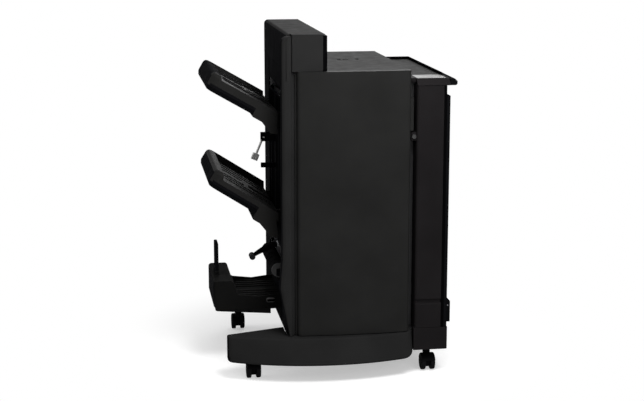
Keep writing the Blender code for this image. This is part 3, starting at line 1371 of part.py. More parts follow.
def cabinet_rollers():
    """Roller pairs between the side plates; the upper fold roller has the jam knob on its shaft."""
    start = PLATE_FRONT_BACK + ROLLER_MARGIN
    end = PLATE_REAR - ROLLER_MARGIN
    looks = {"exit": "roller_rubber", "inlet": "roller_rubber", "fold": "roller_grey"}
    for name, centre, radius in roller_centres():
        kind = name.split("_")[1]
        front = SLOT_FRONT_Y + SLOT_WIDTH / 2 + ROLLER_END_GAP if kind == "exit" else start
        back = SLOT_REAR_Y - SLOT_WIDTH / 2 - ROLLER_END_GAP if kind == "exit" else end
        shaft_front = PLATE_FRONT
        if name == "upper_fold_roller":
            shaft_front = PLATE_FRONT - KNOB_STANDOFF - KNOB_THICKNESS / 2
        profile = [
            (shaft_front, SHAFT_RADIUS),
            (front, SHAFT_RADIUS),
            (front, radius - ROLLER_CHAMFER),
            (front + ROLLER_CHAMFER, radius),
            (back - ROLLER_CHAMFER, radius),
            (back, radius - ROLLER_CHAMFER),
            (back, SHAFT_RADIUS),
            (PLATE_REAR_BACK, SHAFT_RADIUS),
        ]
        roller = turned(name, "Y", centre, profile, looks[kind], 16)
        if name == "upper_fold_roller":
            add_knob(roller, centre)
        carried(name, (centre[0], start, centre[1]), [roller])


def add_knob(roller, centre):
    """Ribbed hand knob on the front end of a roller's shaft."""
    back = PLATE_FRONT - KNOB_STANDOFF
    knob = rod("fold_knob", "Y", centre, KNOB_RADIUS, back - KNOB_THICKNESS, back, count=24)
    for index in range(KNOB_GROOVES):
        turn = 2 * math.pi * index / KNOB_GROOVES
        place = (centre[0] + KNOB_RADIUS * math.cos(turn), centre[1] + KNOB_RADIUS * math.sin(turn))
        cut(knob, rod("fold_knob_groove_%d" % index, "Y", place, KNOB_GROOVE_RADIUS,
                      back - KNOB_THICKNESS - OVERRUN, back + OVERRUN, count=6))
    join(roller, knob)


# Booklet tray below the exit
def booklet_tray():
    """Low tray with a thick end wall, fixed to the delivery wall, and its fold-down stop."""
    left = LEFT + BOOKLET_TRAY_END
    right = DELIVERY_FACE - FIT
    rear = BOOKLET_TRAY_FRONT + BOOKLET_TRAY_WIDTH
    wall = left + END_WALL_THICKNESS
    outline = [
        (left + TRAY_FOOT_STEP, BOOKLET_TRAY_BOTTOM),
        (right, BOOKLET_TRAY_BOTTOM),
        (right, BOOKLET_TRAY_TOP),
        ((wall + right) / 2, BOOKLET_TRAY_TOP - BOOKLET_TRAY_DIP),
        (wall, BOOKLET_TRAY_TOP),
        (wall - END_WALL_LEAN, END_WALL_TOP),
        (left, END_WALL_TOP),
        (left, BOOKLET_TRAY_BOTTOM + TRAY_FOOT_STEP),
    ]
    radii = [TRAY_FOOT_STEP, 0, 0, 0, TRAY_FOOT_STEP, TRAY_FOOT_STEP, TRAY_FOOT_STEP, 0]
    tray = prism("booklet_tray", rounded(outline, radii, 3), "Y", BOOKLET_TRAY_FRONT, rear,
                 "tray_black")
    stop_x, stop_z = stop_axis()
    half = STOP_WIDTH / 2 + FIT
    for side, inner in (("front", -half - STOP_LUG_WIDTH), ("rear", half)):
        y = FLAG_Y + inner
        lug = box("stop_lug_" + side,
                  (stop_x - STOP_HUB_RADIUS, y, END_WALL_TOP - OVERRUN),
                  (stop_x + STOP_HUB_RADIUS, y + STOP_LUG_WIDTH, END_WALL_TOP + STOP_LUG_RISE))
        join(tray, lug)
    cut(tray, rod("stop_pin_hole", "Y", (stop_x, stop_z), STOP_PIN_RADIUS + FIT,
                  FLAG_Y - half - STOP_LUG_WIDTH - OVERRUN,
                  FLAG_Y + half + STOP_LUG_WIDTH + OVERRUN, count=12))
    smooth(tray)

    inner = STOP_WIDTH / 2
    plate = [
        (stop_x - STOP_THICKNESS / 2, stop_z),
        (stop_x + STOP_THICKNESS / 2, stop_z),
        (stop_x + STOP_THICKNESS / 2, STOP_TOP),
        (stop_x - STOP_THICKNESS / 2, STOP_TOP),
    ]
    plate = rounded(plate, [0, 0, STOP_THICKNESS / 4, STOP_THICKNESS / 4], 2)
    stop = prism("booklet_stop", plate, "Y", FLAG_Y - inner, FLAG_Y + inner, "tray_black")
    join(stop, rod("stop_hub", "Y", (stop_x, stop_z), STOP_HUB_RADIUS, FLAG_Y - inner,
                   FLAG_Y + inner, count=12))
    stub = inner + FIT + STOP_LUG_WIDTH
    join(stop, rod("stop_pin", "Y", (stop_x, stop_z), STOP_PIN_RADIUS, FLAG_Y - stub, FLAG_Y + stub,
                   count=12))
    smooth(stop)
    carried("booklet_stop", (stop_x, FLAG_Y, stop_z), [stop])


def stop_axis():
    """Centre of the booklet stop's hinge, as (x, z), just above the end wall."""
    return (LEFT + BOOKLET_TRAY_END + STOP_INSET, END_WALL_TOP + STOP_HUB_RADIUS + FIT)


# Units inside the cabinet
def stapler_unit():
    """Stapler that slides along its rail, from the front corner to the rear one."""
    rail_x = DELIVERY_INSIDE + STAPLE_RAIL_INSET
    rail_top = STAPLE_RAIL_HEIGHT + STAPLE_RAIL_THICKNESS
    box("stapler_rail", (rail_x, PLATE_FRONT_BACK + FIT, STAPLE_RAIL_HEIGHT),
        (rail_x + STAPLE_RAIL_WIDTH, PLATE_REAR - FIT, rail_top), "shaft_steel")
    centre = rail_x + STAPLE_RAIL_WIDTH / 2
    start = PLATE_FRONT_BACK + STAPLER_MARGIN
    base = rail_top + FIT
    profile = [
        (centre - STAPLER_WIDTH / 2, base),
        (centre + STAPLER_WIDTH / 2, base),
        (centre + STAPLER_WIDTH / 2, base + STAPLER_HEIGHT),
        (centre - STAPLER_WIDTH / 2, base + STAPLER_HEIGHT),
        (centre - STAPLER_WIDTH / 2, base + STAPLER_MOUTH_HEIGHT + STAPLER_MOUTH),
        (centre - STAPLER_WIDTH / 2 + STAPLER_MOUTH_DEPTH, base + STAPLER_MOUTH_HEIGHT + STAPLER_MOUTH),
        (centre - STAPLER_WIDTH / 2 + STAPLER_MOUTH_DEPTH, base + STAPLER_MOUTH_HEIGHT),
        (centre - STAPLER_WIDTH / 2, base + STAPLER_MOUTH_HEIGHT),
    ]
    stapler = prism("stapler", profile, "Y", start, start + STAPLER_LENGTH, "tray_black")
    carried("stapler", (centre, start, base), [stapler])


def saddle_stitcher():
    """Saddle stitcher: two bars from side plate to side plate around an open throat."""
    left = STITCHER_X
    right = left + STITCHER_WIDTH
    top = STITCHER_BASE + STITCHER_HEIGHT
    throat = STITCHER_BASE + STITCHER_BLOCK
    profile = [
        (left, STITCHER_BASE),
        (right, STITCHER_BASE),
        (right, top),
        (left, top),
        (left, throat + STITCHER_THROAT),
        (left + STITCHER_THROAT_LENGTH, throat + STITCHER_THROAT),
        (left + STITCHER_THROAT_LENGTH, throat),
        (left, throat),
    ]
    prism("saddle_stitcher", profile, "Y", PLATE_FRONT_BACK + FIT, PLATE_REAR - FIT, "sheet_steel")


def drive_motor():
    """Drive motor on the back of the rear side plate."""
    face = PLATE_REAR_BACK + FIT
    radius = MOTOR_RADIUS
    profile = [
        (face, radius + MOTOR_FLANGE),
        (face + MOTOR_FLANGE_THICKNESS, radius + MOTOR_FLANGE),
        (face + MOTOR_FLANGE_THICKNESS, radius),
        (face + MOTOR_LENGTH - ROLLER_CHAMFER, radius),
        (face + MOTOR_LENGTH, radius - ROLLER_CHAMFER),
    ]
    turned("drive_motor", "Y", (MOTOR_X, MOTOR_HEIGHT), profile, "caster_black", 20)


# Docking bracket and latch that hold the machine to the copier
def docking():
    """Bracket on the inlet side with a latch that turns between its two cheeks."""
    left = INLET_FACE + FIT
    right = left + DOCK_REACH
    front = DOOR_FACE + DOCK_SETBACK
    top = DOCK_BOTTOM + DOCK_HEIGHT
    bracket = box("docking_bracket", (left, front, DOCK_BOTTOM), (right, front + DOCK_DEPTH, top),
                  "wall_black")
    middle = front + DOCK_DEPTH / 2
    slot = box("dock_slot", (left + SHEET, middle - DOCK_SLOT / 2, DOCK_BOTTOM - OVERRUN),
               (right + OVERRUN, middle + DOCK_SLOT / 2, top - SHEET))
    cut(bracket, slot)
    pin = dock_pin()
    cut(bracket, rod("dock_pin_hole", "Y", pin, LATCH_PIN_RADIUS + FIT, front - OVERRUN,
                     front + DOCK_DEPTH + OVERRUN, count=12))
    half = LATCH_WIDTH / 2
    hook_low = pin[1] - LATCH_LENGTH
    profile = [
        (pin[0] - half, pin[1]),
        (pin[0] - half, hook_low),
        (pin[0] + half + LATCH_HOOK, hook_low),
        (pin[0] + half + LATCH_HOOK, hook_low + LATCH_HOOK),
        (pin[0] + half, hook_low + 2 * LATCH_HOOK),
        (pin[0] + half, pin[1]),
    ]
    depth = LATCH_THICKNESS / 2
    latch = prism("docking_latch", profile, "Y", middle - depth, middle + depth, "sheet_steel")
    join(latch, rod("latch_hub", "Y", pin, half, middle - depth, middle + depth, count=12))
    stub = DOCK_DEPTH / 2
    join(latch, rod("latch_pin", "Y", pin, LATCH_PIN_RADIUS, middle - stub, middle + stub, count=12))
    smooth(latch)
    carried("docking_latch", (pin[0], middle, pin[1]), [latch])


def dock_pin():
    """Centre of the docking latch's pin, as (x, z)."""
    x = INLET_FACE + FIT + SHEET + FIT + LATCH_WIDTH / 2
    return (x, DOCK_BOTTOM + DOCK_HEIGHT - SHEET - LATCH_PIVOT_DROP + LATCH_WIDTH / 2)


base_beams()
front_base_cover()
rear_base_cover()
inlet_base_cover()
casters()
floor_plate()
side_plates()
front_left_pillar()
tower_cover()
delivery_wall()
lift_rails_and_stays()
rear_cover()
power_inlet()
inlet_section()
door_button()
front_door()
top_cover()
output_tray("upper_tray", UPPER_TRAY_HEIGHT, UPPER_TRAY_SLOPE, TRAY_ROOT_DEPTH,
            UPPER_BLOCK_LENGTH, UPPER_BLOCK_STEP, UPPER_DISH_DEPTH)
output_tray("lower_tray", LOWER_TRAY_HEIGHT, LOWER_TRAY_SLOPE, LOWER_ROOT_DEPTH,
            LOWER_BLOCK_LENGTH, LOWER_BLOCK_STEP, LOWER_DISH_DEPTH)
stack_flag()
press_arm()
booklet_exit_roller()
cabinet_rollers()
booklet_tray()
stapler_unit()
saddle_stitcher()
drive_motor()
docking()
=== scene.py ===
"""Looks of the booklet maker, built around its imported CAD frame.

Metres, in the part's own frame: +Z up, the front door faces -Y, sheets enter at +X and leave at -X.
"""
import math

import bmesh
import bpy
from mathutils import Matrix, Vector


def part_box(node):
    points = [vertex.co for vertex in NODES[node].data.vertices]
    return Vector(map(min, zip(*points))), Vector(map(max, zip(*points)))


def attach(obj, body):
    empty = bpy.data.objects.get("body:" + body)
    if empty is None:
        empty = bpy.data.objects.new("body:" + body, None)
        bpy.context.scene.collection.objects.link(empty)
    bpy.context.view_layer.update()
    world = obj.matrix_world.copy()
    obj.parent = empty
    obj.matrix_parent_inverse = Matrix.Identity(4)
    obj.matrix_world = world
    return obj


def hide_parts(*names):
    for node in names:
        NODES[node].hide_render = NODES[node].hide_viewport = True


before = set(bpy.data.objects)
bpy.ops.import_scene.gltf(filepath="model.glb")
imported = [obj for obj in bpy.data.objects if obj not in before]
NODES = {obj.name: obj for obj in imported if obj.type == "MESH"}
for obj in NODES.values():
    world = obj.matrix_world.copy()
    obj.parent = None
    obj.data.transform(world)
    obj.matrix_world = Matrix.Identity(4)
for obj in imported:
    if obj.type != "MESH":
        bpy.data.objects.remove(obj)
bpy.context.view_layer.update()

# Edge radii of moulded and sheet parts, and the angle from which an edge is rounded
HAIR_EDGE = 0.0004
FINE_EDGE = 0.0008
EDGE = 0.0014
SOFT_EDGE = 0.0024
EDGE_ANGLE = math.radians(35)

# Points closer than this, or than this share of the edge radius, are merged first
WELD_REACH = 0.0004
WELD_SHARE = 0.3

# Gap between neighbours, and how far a cutting body reaches past what it cuts
FIT = 0.0003
OVERRUN = 0.005

# A face looks towards -X where its normal's x is less than this; such faces take painted shade, the
# darker look of the side away from the lamps
PAINTED_SHADE_NORMAL = -0.8

# Camera
CAMERA_PLACE = (-0.6387, -4.2429, 1.38)
CAMERA_TURN = (math.pi / 2 - 0.2036, 0, -0.1507)
CAMERA_LENS = 77.6
SENSOR_WIDTH = 36

# Floor: it takes shade near the shade's centre, less from FLOOR_LIT on, none beyond FLOOR_FADE
FLOOR_SIZE = 60
FLOOR_PAINT = 0.72
FLOOR_GLOW = 0.42
SHADE_CENTRE = (0.05, 0.12, 0)
FLOOR_LIT = 0.36
FLOOR_FADE = 0.76

# Light from all round, and the lamps: place, aim, watts and size of each
SKY_FILL = 0.31
LAMPS = {
    "key": ((0.75, -1.5, 3.3), (0.05, -0.1, 0.6), 54, 1.1),
    "front": ((1.3, -4.6, 2), (0.05, 0, 0.55), 58, 2.6),
    "left": ((-3.6, 1.2, 2.4), (-0.1, 0, 0.6), 50, 2.4),
    "high": ((0.03, -1, 1.5), (0.03, -0.27, 0.95), 9.5, 0.4),
    "rear": ((1.3, 4.4, 2.4), (0, 0.2, 0.5), 75, 2.6),
}

# Door, pillar and base
DOOR_LEFT = -0.109
DOOR_RIGHT = 0.231
DOOR_FACE = -0.272
DOOR_BACK = -0.244
DOOR_BOTTOM = 0.137
DOOR_TOP = 0.9317
DOOR_BOW = 0.008
DOOR_CORNER = 0.011
PIN_CENTRE = (-0.101, -0.26)
GRIP_BOTTOM = 0.752
GRIP_TOP = 0.85
PILLAR_RIGHT = -0.124
PILLAR_TOP = 1.034
BASE_BOTTOM = 0.055
BASE_TOP = 0.1347
BASE_RIGHT = 0.246
BASE_CORNER = 0.02
LEG_END = -0.318
BASE_APEX = -0.328
BASE_LEAN = 0.026
BOW_AT_FOOT = 0.079
BOW_AT_TOP = 0.0637
BOW_MIDDLE = 0.573

# Inlet section and the level where the rear cover steps down to it
INLET_LEFT = 0.249
INLET_PANEL_RIGHT = 0.331
INLET_SHADE_STRIP_RIGHT = 0.3382
INLET_BOTTOM = 0.1456
INLET_TOP = 0.885
INLET_STEP_Y = -0.262
INLET_BACK_Y = -0.2155
STEP_TOP = 0.8927

# Trays, in their own frames: out from the wall, across and up
TRAY_ROOT_X = -0.153
TRAY_FRONT = -0.172
TRAY_REAR = 0.248
TRAY_MIDDLE = 0.028
TRAY_LENGTH = 0.21894
TRAY_SHELL = 0.04
TRAY_THICKNESS = 0.055
TRAY_ROUND = 0.012
TRAY_CORNER = 0.03
RIM = 0.016
BED_END = TRAY_LENGTH - 0.034

# Booklet stop, the rollers' sleeves with their cores and gaps, and the casters
STOP_Z = 0.2723
STOP_TOP = 0.368
STOP_PIN_HALF = 0.0383
EXIT_SPAN = (-0.0999, 0.1759)
WIDE_SPAN = (-0.1719, 0.2299)
CORE_SHARE = 0.74
GAP_SHARE = 0.06
AXLE_Z = 0.025

# Where most of a noise texture's values lie, and the shares and depths of the finishes' drift
NOISE_LOW = 0.3
NOISE_HIGH = 0.7
PLASTIC_TINT = 0.1
PLASTIC_GLOSS = 0.12
PLASTIC_RELIEF = 0.0002
METAL_TINT = 0.06
METAL_GLOSS = 0.25
METAL_RELIEF = 0.0001


# Materials
def set_sockets(node, values):
    """Writes constant values on a node's own sockets."""
    for socket, value in values.items():
        node.inputs[socket].default_value = value


class Nodes:
    """Adds nodes to a material or world and links them."""

    def __init__(self, owner):
        owner.use_nodes = True
        self.tree = owner.node_tree

    def add(self, kind, values=None, **settings):
        """A new node, with its settings and the values of its sockets."""
        made = self.tree.nodes.new("ShaderNode" + kind)
        for key, value in settings.items():
            setattr(made, key, value)
        set_sockets(made, values or {})
        return made

    def link(self, source, output, target, socket):
        self.tree.links.new(source.outputs[output], target.inputs[socket])

    def mix(self, factor, output, first, second):
        """A mix of two shaders by a node's output."""
        made = self.add("MixShader")
        self.link(factor, output, made, 0)
        self.link(first, 0, made, 1)
        self.link(second, 0, made, 2)
        return made


def base_material(name, colour, roughness, metallic, specular):
    """A Principled material whose constant values are on the shader's own sockets."""
    made = bpy.data.materials.new(name)
    nodes = Nodes(made)
    shader = nodes.tree.nodes["Principled BSDF"]
    set_sockets(shader, {"Base Color": (*colour, 1), "Roughness": roughness, "Metallic": metallic,
                         "Specular IOR Level": specular})
    made.diffuse_color = (*colour, 1)
    return made, nodes, shader


def noise(nodes, place, scale, detail=2, stretch=(1, 1, 1)):
    """A noise texture in object space, stretched along its axes."""
    mapping = nodes.add("Mapping", {"Scale": stretch})
    nodes.link(place, "Object", mapping, "Vector")
    made = nodes.add("TexNoise", {"Scale": scale, "Detail": detail})
    nodes.link(mapping, "Vector", made, "Vector")
    return made


def uneven(nodes, shader, source, roughness, share):
    """Varies the roughness by a share either way over the surface."""
    made = nodes.add("MapRange", {
        "From Min": NOISE_LOW, "From Max": NOISE_HIGH,
        "To Min": roughness * (1 - share), "To Max": roughness * (1 + share),
    })
    nodes.link(source, "Fac", made, "Value")
    nodes.link(made, "Result", shader, "Roughness")


def tinted(nodes, shader, source, output, colour, share, ends=(NOISE_LOW, NOISE_HIGH)):
    """Varies the base colour by a share either way over the surface."""
    ramp = nodes.add("ValToRGB")
    for index, gain in enumerate((1 - share, 1 + share)):
        element = ramp.color_ramp.elements[index]
        element.position = ends[index]
        element.color = (*[part * gain for part in colour], 1)
    nodes.link(source, output, ramp, "Fac")
    nodes.link(ramp, "Color", shader, "Base Color")


def bumped(nodes, shader, source, strength, distance):
    """Gives a surface the relief of a texture."""
    bump = nodes.add("Bump", {"Strength": strength, "Distance": distance})
    nodes.link(source, "Fac", bump, "Height")
    nodes.link(bump, "Normal", shader, "Normal")


def plastic(name, colour, roughness, specular, grain=0.25, grain_size=0.0011):
    """Moulded plastic with a fine sparked grain, uneven gloss and slight colour drift."""
    made, nodes, shader = base_material(name, colour, roughness, 0, specular)
    place = nodes.add("TexCoord")
    fine = noise(nodes, place, 1 / grain_size, 3)
    tinted(nodes, shader, noise(nodes, place, 9), "Fac", colour, PLASTIC_TINT)
    uneven(nodes, shader, noise(nodes, place, 40, 3), roughness, PLASTIC_GLOSS)
    bumped(nodes, shader, fine, grain, PLASTIC_RELIEF)
    return made


def metal(name, colour, roughness, stretch, scale, spangle=0):
    """Bare metal with a drawn or brushed grain; spangle adds the patches of zinc plating."""
    made, nodes, shader = base_material(name, colour, roughness, 1, 0.5)
    place = nodes.add("TexCoord")
    lines = noise(nodes, place, scale, 4, stretch)
    uneven(nodes, shader, lines, roughness, METAL_GLOSS)
    if spangle:
        patches = nodes.add("TexVoronoi", {"Scale": 70})
        nodes.link(place, "Object", patches, "Vector")
        tinted(nodes, shader, patches, "Color", colour, spangle, (0, 1))
    else:
        tinted(nodes, shader, noise(nodes, place, 14), "Fac", colour, METAL_TINT)
    bumped(nodes, shader, lines, 0.12, METAL_RELIEF)
    return made


def grey(value):
    """A neutral colour."""
    return (value, value, value)


# Colour, roughness, specular level, and for some the grain's strength and size
PLASTICS = {
    "cover_black": (grey(0.015), 0.5, 0.0007),
    "door_black": ((0.014, 0.014, 0.0137), 0.42, 0.003),
    "inlet_black": ((0.0105, 0.0096, 0.0101), 0.48, 0.001),
    # Near-black with painted shade: darker than the covers, so that sides, undercovers and the wall read
    # as shaded
    "wall_black": ((0.0042, 0.0043, 0.0049), 0.75, 0.001),
    "top_black": (grey(0.024), 0.46, 0.001),
    "tray_black": ((0.0135, 0.0133, 0.013), 0.46, 0.004),
    "bed_black": (grey(0.0105), 0.5, 0.0075),
    "low_black": ((0.007, 0.007, 0.0068), 0.5, 0.001),
    "rubber_dark": ((0.005, 0.005, 0.0052), 0.8, 0.001, 0.5, 0.0007),
    "button_grey": (grey(0.035), 0.45, 0.1),
    "roller_dark": (grey(0.075), 0.6, 0.02, 0.3, 0.0009),
    # Satin grey for the inlet's cap, lighter than the covers: partly a painted highlight
    "satin_and_painted_highlight": (grey(0.042), 0.34, 0.012),
    "unit_black": ((0.02, 0.02, 0.021), 0.5, 0.3),
    "roller_rubber": ((0.022, 0.022, 0.024), 0.78, 0.25, 0.5, 0.0007),
    "roller_grey": (grey(0.26), 0.55, 0.35, 0.3, 0.0009),
    "flag_grey": ((0.55, 0.55, 0.54), 0.42, 0.4),
    "knob_green": ((0.03, 0.17, 0.075), 0.42, 0.4),
    "socket_black": (grey(0.012), 0.38, 0.35),
    "caster_black": ((0.003, 0.003, 0.0033), 0.55, 0.01),
    "wheel_grey": ((0.006, 0.006, 0.0065), 0.65, 0.01, 0.4, 0.0009),
    # Near-black strips that paint the shade of rounded edges and of the inlet's rim; the rim is partly
    # its own black
    "trim_black_and_painted_shade": ((0.0016, 0.0016, 0.0018), 0.8, 0),
}

# Colour, roughness, the grain's stretch along the axes and its scale, and the zinc's spangle
METALS = {
    "sheet_steel": ((0.46, 0.47, 0.48), 0.36, (1, 1, 1), 260, 0.1),
    "shaft_steel": ((0.6, 0.6, 0.61), 0.22, (1, 0.02, 1), 900),
    "latch_steel": ((0.55, 0.54, 0.52), 0.3, (1, 1, 0.05), 600),
    "motor_metal": ((0.2, 0.2, 0.21), 0.4, (1, 0.05, 1), 500),
}
LOOKS = {name: plastic(name, *values) for name, values in PLASTICS.items()}
LOOKS.update({name: metal(name, *values) for name, values in METALS.items()})

# Matrices that take an outline's (u, v, along) to the world for an extrusion axis
AXES = {
    "X": Matrix(((0, 0, 1), (1, 0, 0), (0, 1, 0))),
    "Y": Matrix(((1, 0, 0), (0, 0, 1), (0, 1, 0))),
    "Z": Matrix(((1, 0, 0), (0, 1, 0), (0, 0, 1))),
}


# Outlines
def quarter(steps):
    """Angles of a quarter turn."""
    return [math.pi / 2 * step / steps for step in range(steps + 1)]


def spaced(start, end, steps):
    """Evenly spaced values with both ends."""
    return [start + (end - start) * step / steps for step in range(steps + 1)]


def rectangle(low, high, inset=0):
    """Corners of an upright rectangle, drawn in by an inset."""
    left, bottom = low[0] + inset, low[1] + inset
    right, top = high[0] - inset, high[1] - inset
    return [(left, bottom), (right, bottom), (right, top), (left, top)]


def stepped(left, bottom, right, top, step_x, step_z):
    """An upright rectangle whose upper right corner is cut out down to a step."""
    return [(left, bottom), (right, bottom), (right, step_z), (step_x, step_z), (step_x, top),
            (left, top)]


def throated(low, high, throat, deep, opening):
    """A unit's section seen along Y, with a throat for the sheets cut into its left side."""
    return [(low.x, low.z), (high.x, low.z), (high.x, high.z), (low.x, high.z),
            (low.x, throat + opening), (deep, throat + opening), (deep, throat), (low.x, throat)]


def mirrored(middle, profile):
    """Both halves of a turned profile, from the one on the far side of a middle."""
    near = [(middle - along, radius) for along, radius in reversed(profile)]
    return near + [(middle + along, radius) for along, radius in profile]


def circle(centre, radius, count=32):
    """Points of a round outline."""
    turn = 2 * math.pi / count
    return [
        (centre[0] + radius * math.cos(turn * step), centre[1] + radius * math.sin(turn * step))
        for step in range(count)
    ]


def rounded(points, radii, steps=6):
    """Rounds the corners of an outline; radii is one value or a list, zero for a sharp corner."""
    count = len(points)
    result = []
    for index, size in enumerate(radii if isinstance(radii, list) else [radii] * count):
        here = Vector(points[index])
        if size == 0:
            result.append(tuple(here))
            continue
        back = (Vector(points[index - 1]) - here).normalized()
        ahead = (Vector(points[(index + 1) % count]) - here).normalized()
        half = back.angle(ahead) / 2
        centre = here + (back + ahead).normalized() * (size / math.sin(half))
        first = here + back * (size / math.tan(half)) - centre
        last = here + ahead * (size / math.tan(half)) - centre
        sweep = first.angle_signed(last)
        for step in range(steps + 1):
            turn = Matrix.Rotation(-sweep * step / steps, 2)
            result.append(tuple(centre + turn @ first))
    return result


def level(outline, z):
    """A plan outline at a height."""
    return [(x, y, z) for x, y in outline]


def placed(outline, w, place):
    """A plan outline at a height of another frame, in the world."""
    return [place @ Vector((u, v, w)) for u, v in outline]


def centre_of(node):
    """Middle of a CAD node seen along Y, as (x, z)."""
    low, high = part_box(node)
    return ((low.x + high.x) / 2, (low.z + high.z) / 2)


# Bodies
def object_from(shape):
    """Turns a bmesh into an object, with its faces pointing out."""
    bmesh.ops.recalc_face_normals(shape, faces=shape.faces)
    mesh = bpy.data.meshes.new("shape")
    shape.to_mesh(mesh)
    shape.free()
    made = bpy.data.objects.new("shape", mesh)
    bpy.context.scene.collection.objects.link(made)
    return made


def lofted(outlines):
    """Joins closed outlines of equal count into one closed body."""
    shape = bmesh.new()
    rings = [[shape.verts.new(point) for point in outline] for outline in outlines]
    for low, high in zip(rings, rings[1:]):
        count = len(low)
        for index in range(count):
            after = (index + 1) % count
            shape.faces.new((low[index], low[after], high[after], high[index]))
    shape.faces.new(list(reversed(rings[0])))
    shape.faces.new(rings[-1])
    return object_from(shape)


def prism(outline, axis, start, end):
    """Extrudes a flat outline. Outlines are (y, z) for X, (x, z) for Y and (x, y) for Z."""
    return lofted([placed(outline, along, AXES[axis]) for along in (start, end)])


def plate(points, radii, axis, start, end, steps=6, origin=(0, 0)):
    """A prism with rounded corners, its points counted from an origin."""
    spots = [(origin[0] + u, origin[1] + v) for u, v in points]
    return prism(rounded(spots, radii, steps), axis, start, end)


def box(low, high):
    """A block between two corners, for cutting and for small parts that get bevelled."""
    return prism(rectangle(low, high), "Z", low[2], high[2])


def rod(axis, centre, radius, start, end, count=32):
    """A round bar along an axis."""
    return prism(circle(centre, radius, count), axis, start, end)


def turned(axis, centre, profile, count=48):
    """A turned body from (along, radius) pairs."""
    return lofted([placed(circle(centre, radius, count), along, AXES[axis])
                   for along, radius in profile])


def pad(low, high, base, top, corner, draft):
    """A raised rounded field on a face that looks along Y, with drafted sides."""
    return lofted([[(x, depth, z) for x, z in rounded(rectangle(low, high, inset), corner)]
                   for depth, inset in ((base, 0), (top, draft))])


def combined(target, tools, operation):
    """Cuts, joins or intersects bodies one by one, and removes the tools."""
    for tool in tools:
        step = target.modifiers.new("Combine", "BOOLEAN")
        step.operation = operation
        step.solver = "EXACT"
        step.object = tool
        graph = bpy.context.evaluated_depsgraph_get()
        mesh = bpy.data.meshes.new_from_object(target.evaluated_get(graph))
        target.modifiers.clear()
        old = target.data
        target.data = mesh
        bpy.data.meshes.remove(old)
        bpy.data.objects.remove(tool, do_unlink=True)
    return target


def cut(target, *tools):
    """Removes bodies from another."""
    return combined(target, tools, "DIFFERENCE")


def join(target, *tools):
    """Welds bodies to another."""
    return combined(target, tools, "UNION")


def keep_common(target, tool):
    """Keeps what two bodies share."""
    return combined(target, [tool], "INTERSECT")


def merged(parts):
    """One object from several loose bodies, such as a row of screws."""
    shape = bmesh.new()
    for part in parts:
        shape.from_mesh(part.data)
        bpy.data.objects.remove(part, do_unlink=True)
    return object_from(shape)


def moved(made, matrix):
    """Moves an object's mesh by a matrix."""
    made.data.transform(matrix)
    return made


# Finishing of pieces
def weld_short(made, reach):
    """Merges points that lie closer than a reach, so that no short edge holds the rounding back."""
    shape = bmesh.new()
    shape.from_mesh(made.data)
    bmesh.ops.remove_doubles(shape, verts=shape.verts, dist=reach)
    bmesh.ops.dissolve_degenerate(shape, edges=shape.edges, dist=reach / 4)
    shape.to_mesh(made.data)
    shape.free()


def soften(made, edge, segments=3):
    """Rounds the edges and keeps the flat faces shading flat."""
    made.data.shade_smooth()
    if edge:
        bevel = made.modifiers.new("Bevel", "BEVEL")
        bevel.width = edge
        bevel.segments = segments
        bevel.limit_method = "ANGLE"
        bevel.angle_limit = EDGE_ANGLE
        bevel.use_clamp_overlap = True
    normals = made.modifiers.new("Normals", "WEIGHTED_NORMAL")
    normals.weight = 100
    normals.keep_sharp = False


def finish(name, made, look, edge=EDGE, node=None, body="cabinet", painted_shade_look=None):
    """Names a new piece and gives it its edges, material and body.

    It stands for a CAD node, if one is named. A second look, if one is named, goes on the faces
    that look towards -X: painted shade for the side of the machine that the lamps leave dark.
    """
    made.name = name
    if edge:
        weld_short(made, min(edge * WELD_SHARE, WELD_REACH))
    soften(made, edge)
    made.data.materials.clear()
    made.data.materials.append(LOOKS[look])
    # Painted shade: the faces that look towards -X take the second, darker look
    if painted_shade_look:
        made.data.materials.append(LOOKS[painted_shade_look])
        for face in made.data.polygons:
            face.material_index = 1 if face.normal.x < PAINTED_SHADE_NORMAL else 0
    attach(made, body)
    if node:
        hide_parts(node)


def dress(look, edge, *nodes):
    """Gives CAD nodes that stay their edges and material; their meshes are left as they are."""
    for node in nodes:
        made = NODES[node]
        weld = made.modifiers.new("Weld", "WELD")
        weld.merge_threshold = 0.00002
        flat = made.modifiers.new("Flat", "DECIMATE")
        flat.decimate_type = "DISSOLVE"
        flat.angle_limit = math.radians(0.5)
        soften(made, edge, 2)
        made.data.materials.clear()
        made.data.materials.append(LOOKS[look])


def screw(place, direction, radius):
    """A pan-head screw with a cross recess, its head standing along a direction."""
    head = turned("Z", (0, 0), [(-radius * 0.3, radius), (radius * 0.25, radius),
                                (radius * 0.5, radius * 0.8), (radius * 0.62, radius * 0.45)], 24)
    arm = radius * 0.62
    slot = radius * 0.13
    cut(head, box((-arm, -slot, radius * 0.2), (arm, slot, radius)),
        box((-slot, -arm, radius * 0.2), (slot, arm, radius)))
    turn = Vector((0, 0, 1)).rotation_difference(Vector(direction)).to_matrix().to_4x4()
    return moved(head, Matrix.Translation(place) @ turn)


def screws(name, places, direction, radius, body="cabinet"):
    """A set of screws on one face, as one piece."""
    heads = [screw(place, direction, radius) for place in places]
    finish(name, merged(heads), "latch_steel", 0, body=body)


# Stage, lamps and camera
def white_rays(nodes):
    """One for rays that see the background itself: from the camera, from gloss and through glass."""
    path = nodes.add("LightPath")
    first = nodes.add("Math", operation="MAXIMUM")
    second = nodes.add("Math", operation="MAXIMUM")
    nodes.link(path, "Is Camera Ray", first, 0)
    nodes.link(path, "Is Glossy Ray", first, 1)
    nodes.link(first, 0, second, 0)
    nodes.link(path, "Is Transmission Ray", second, 1)
    return second


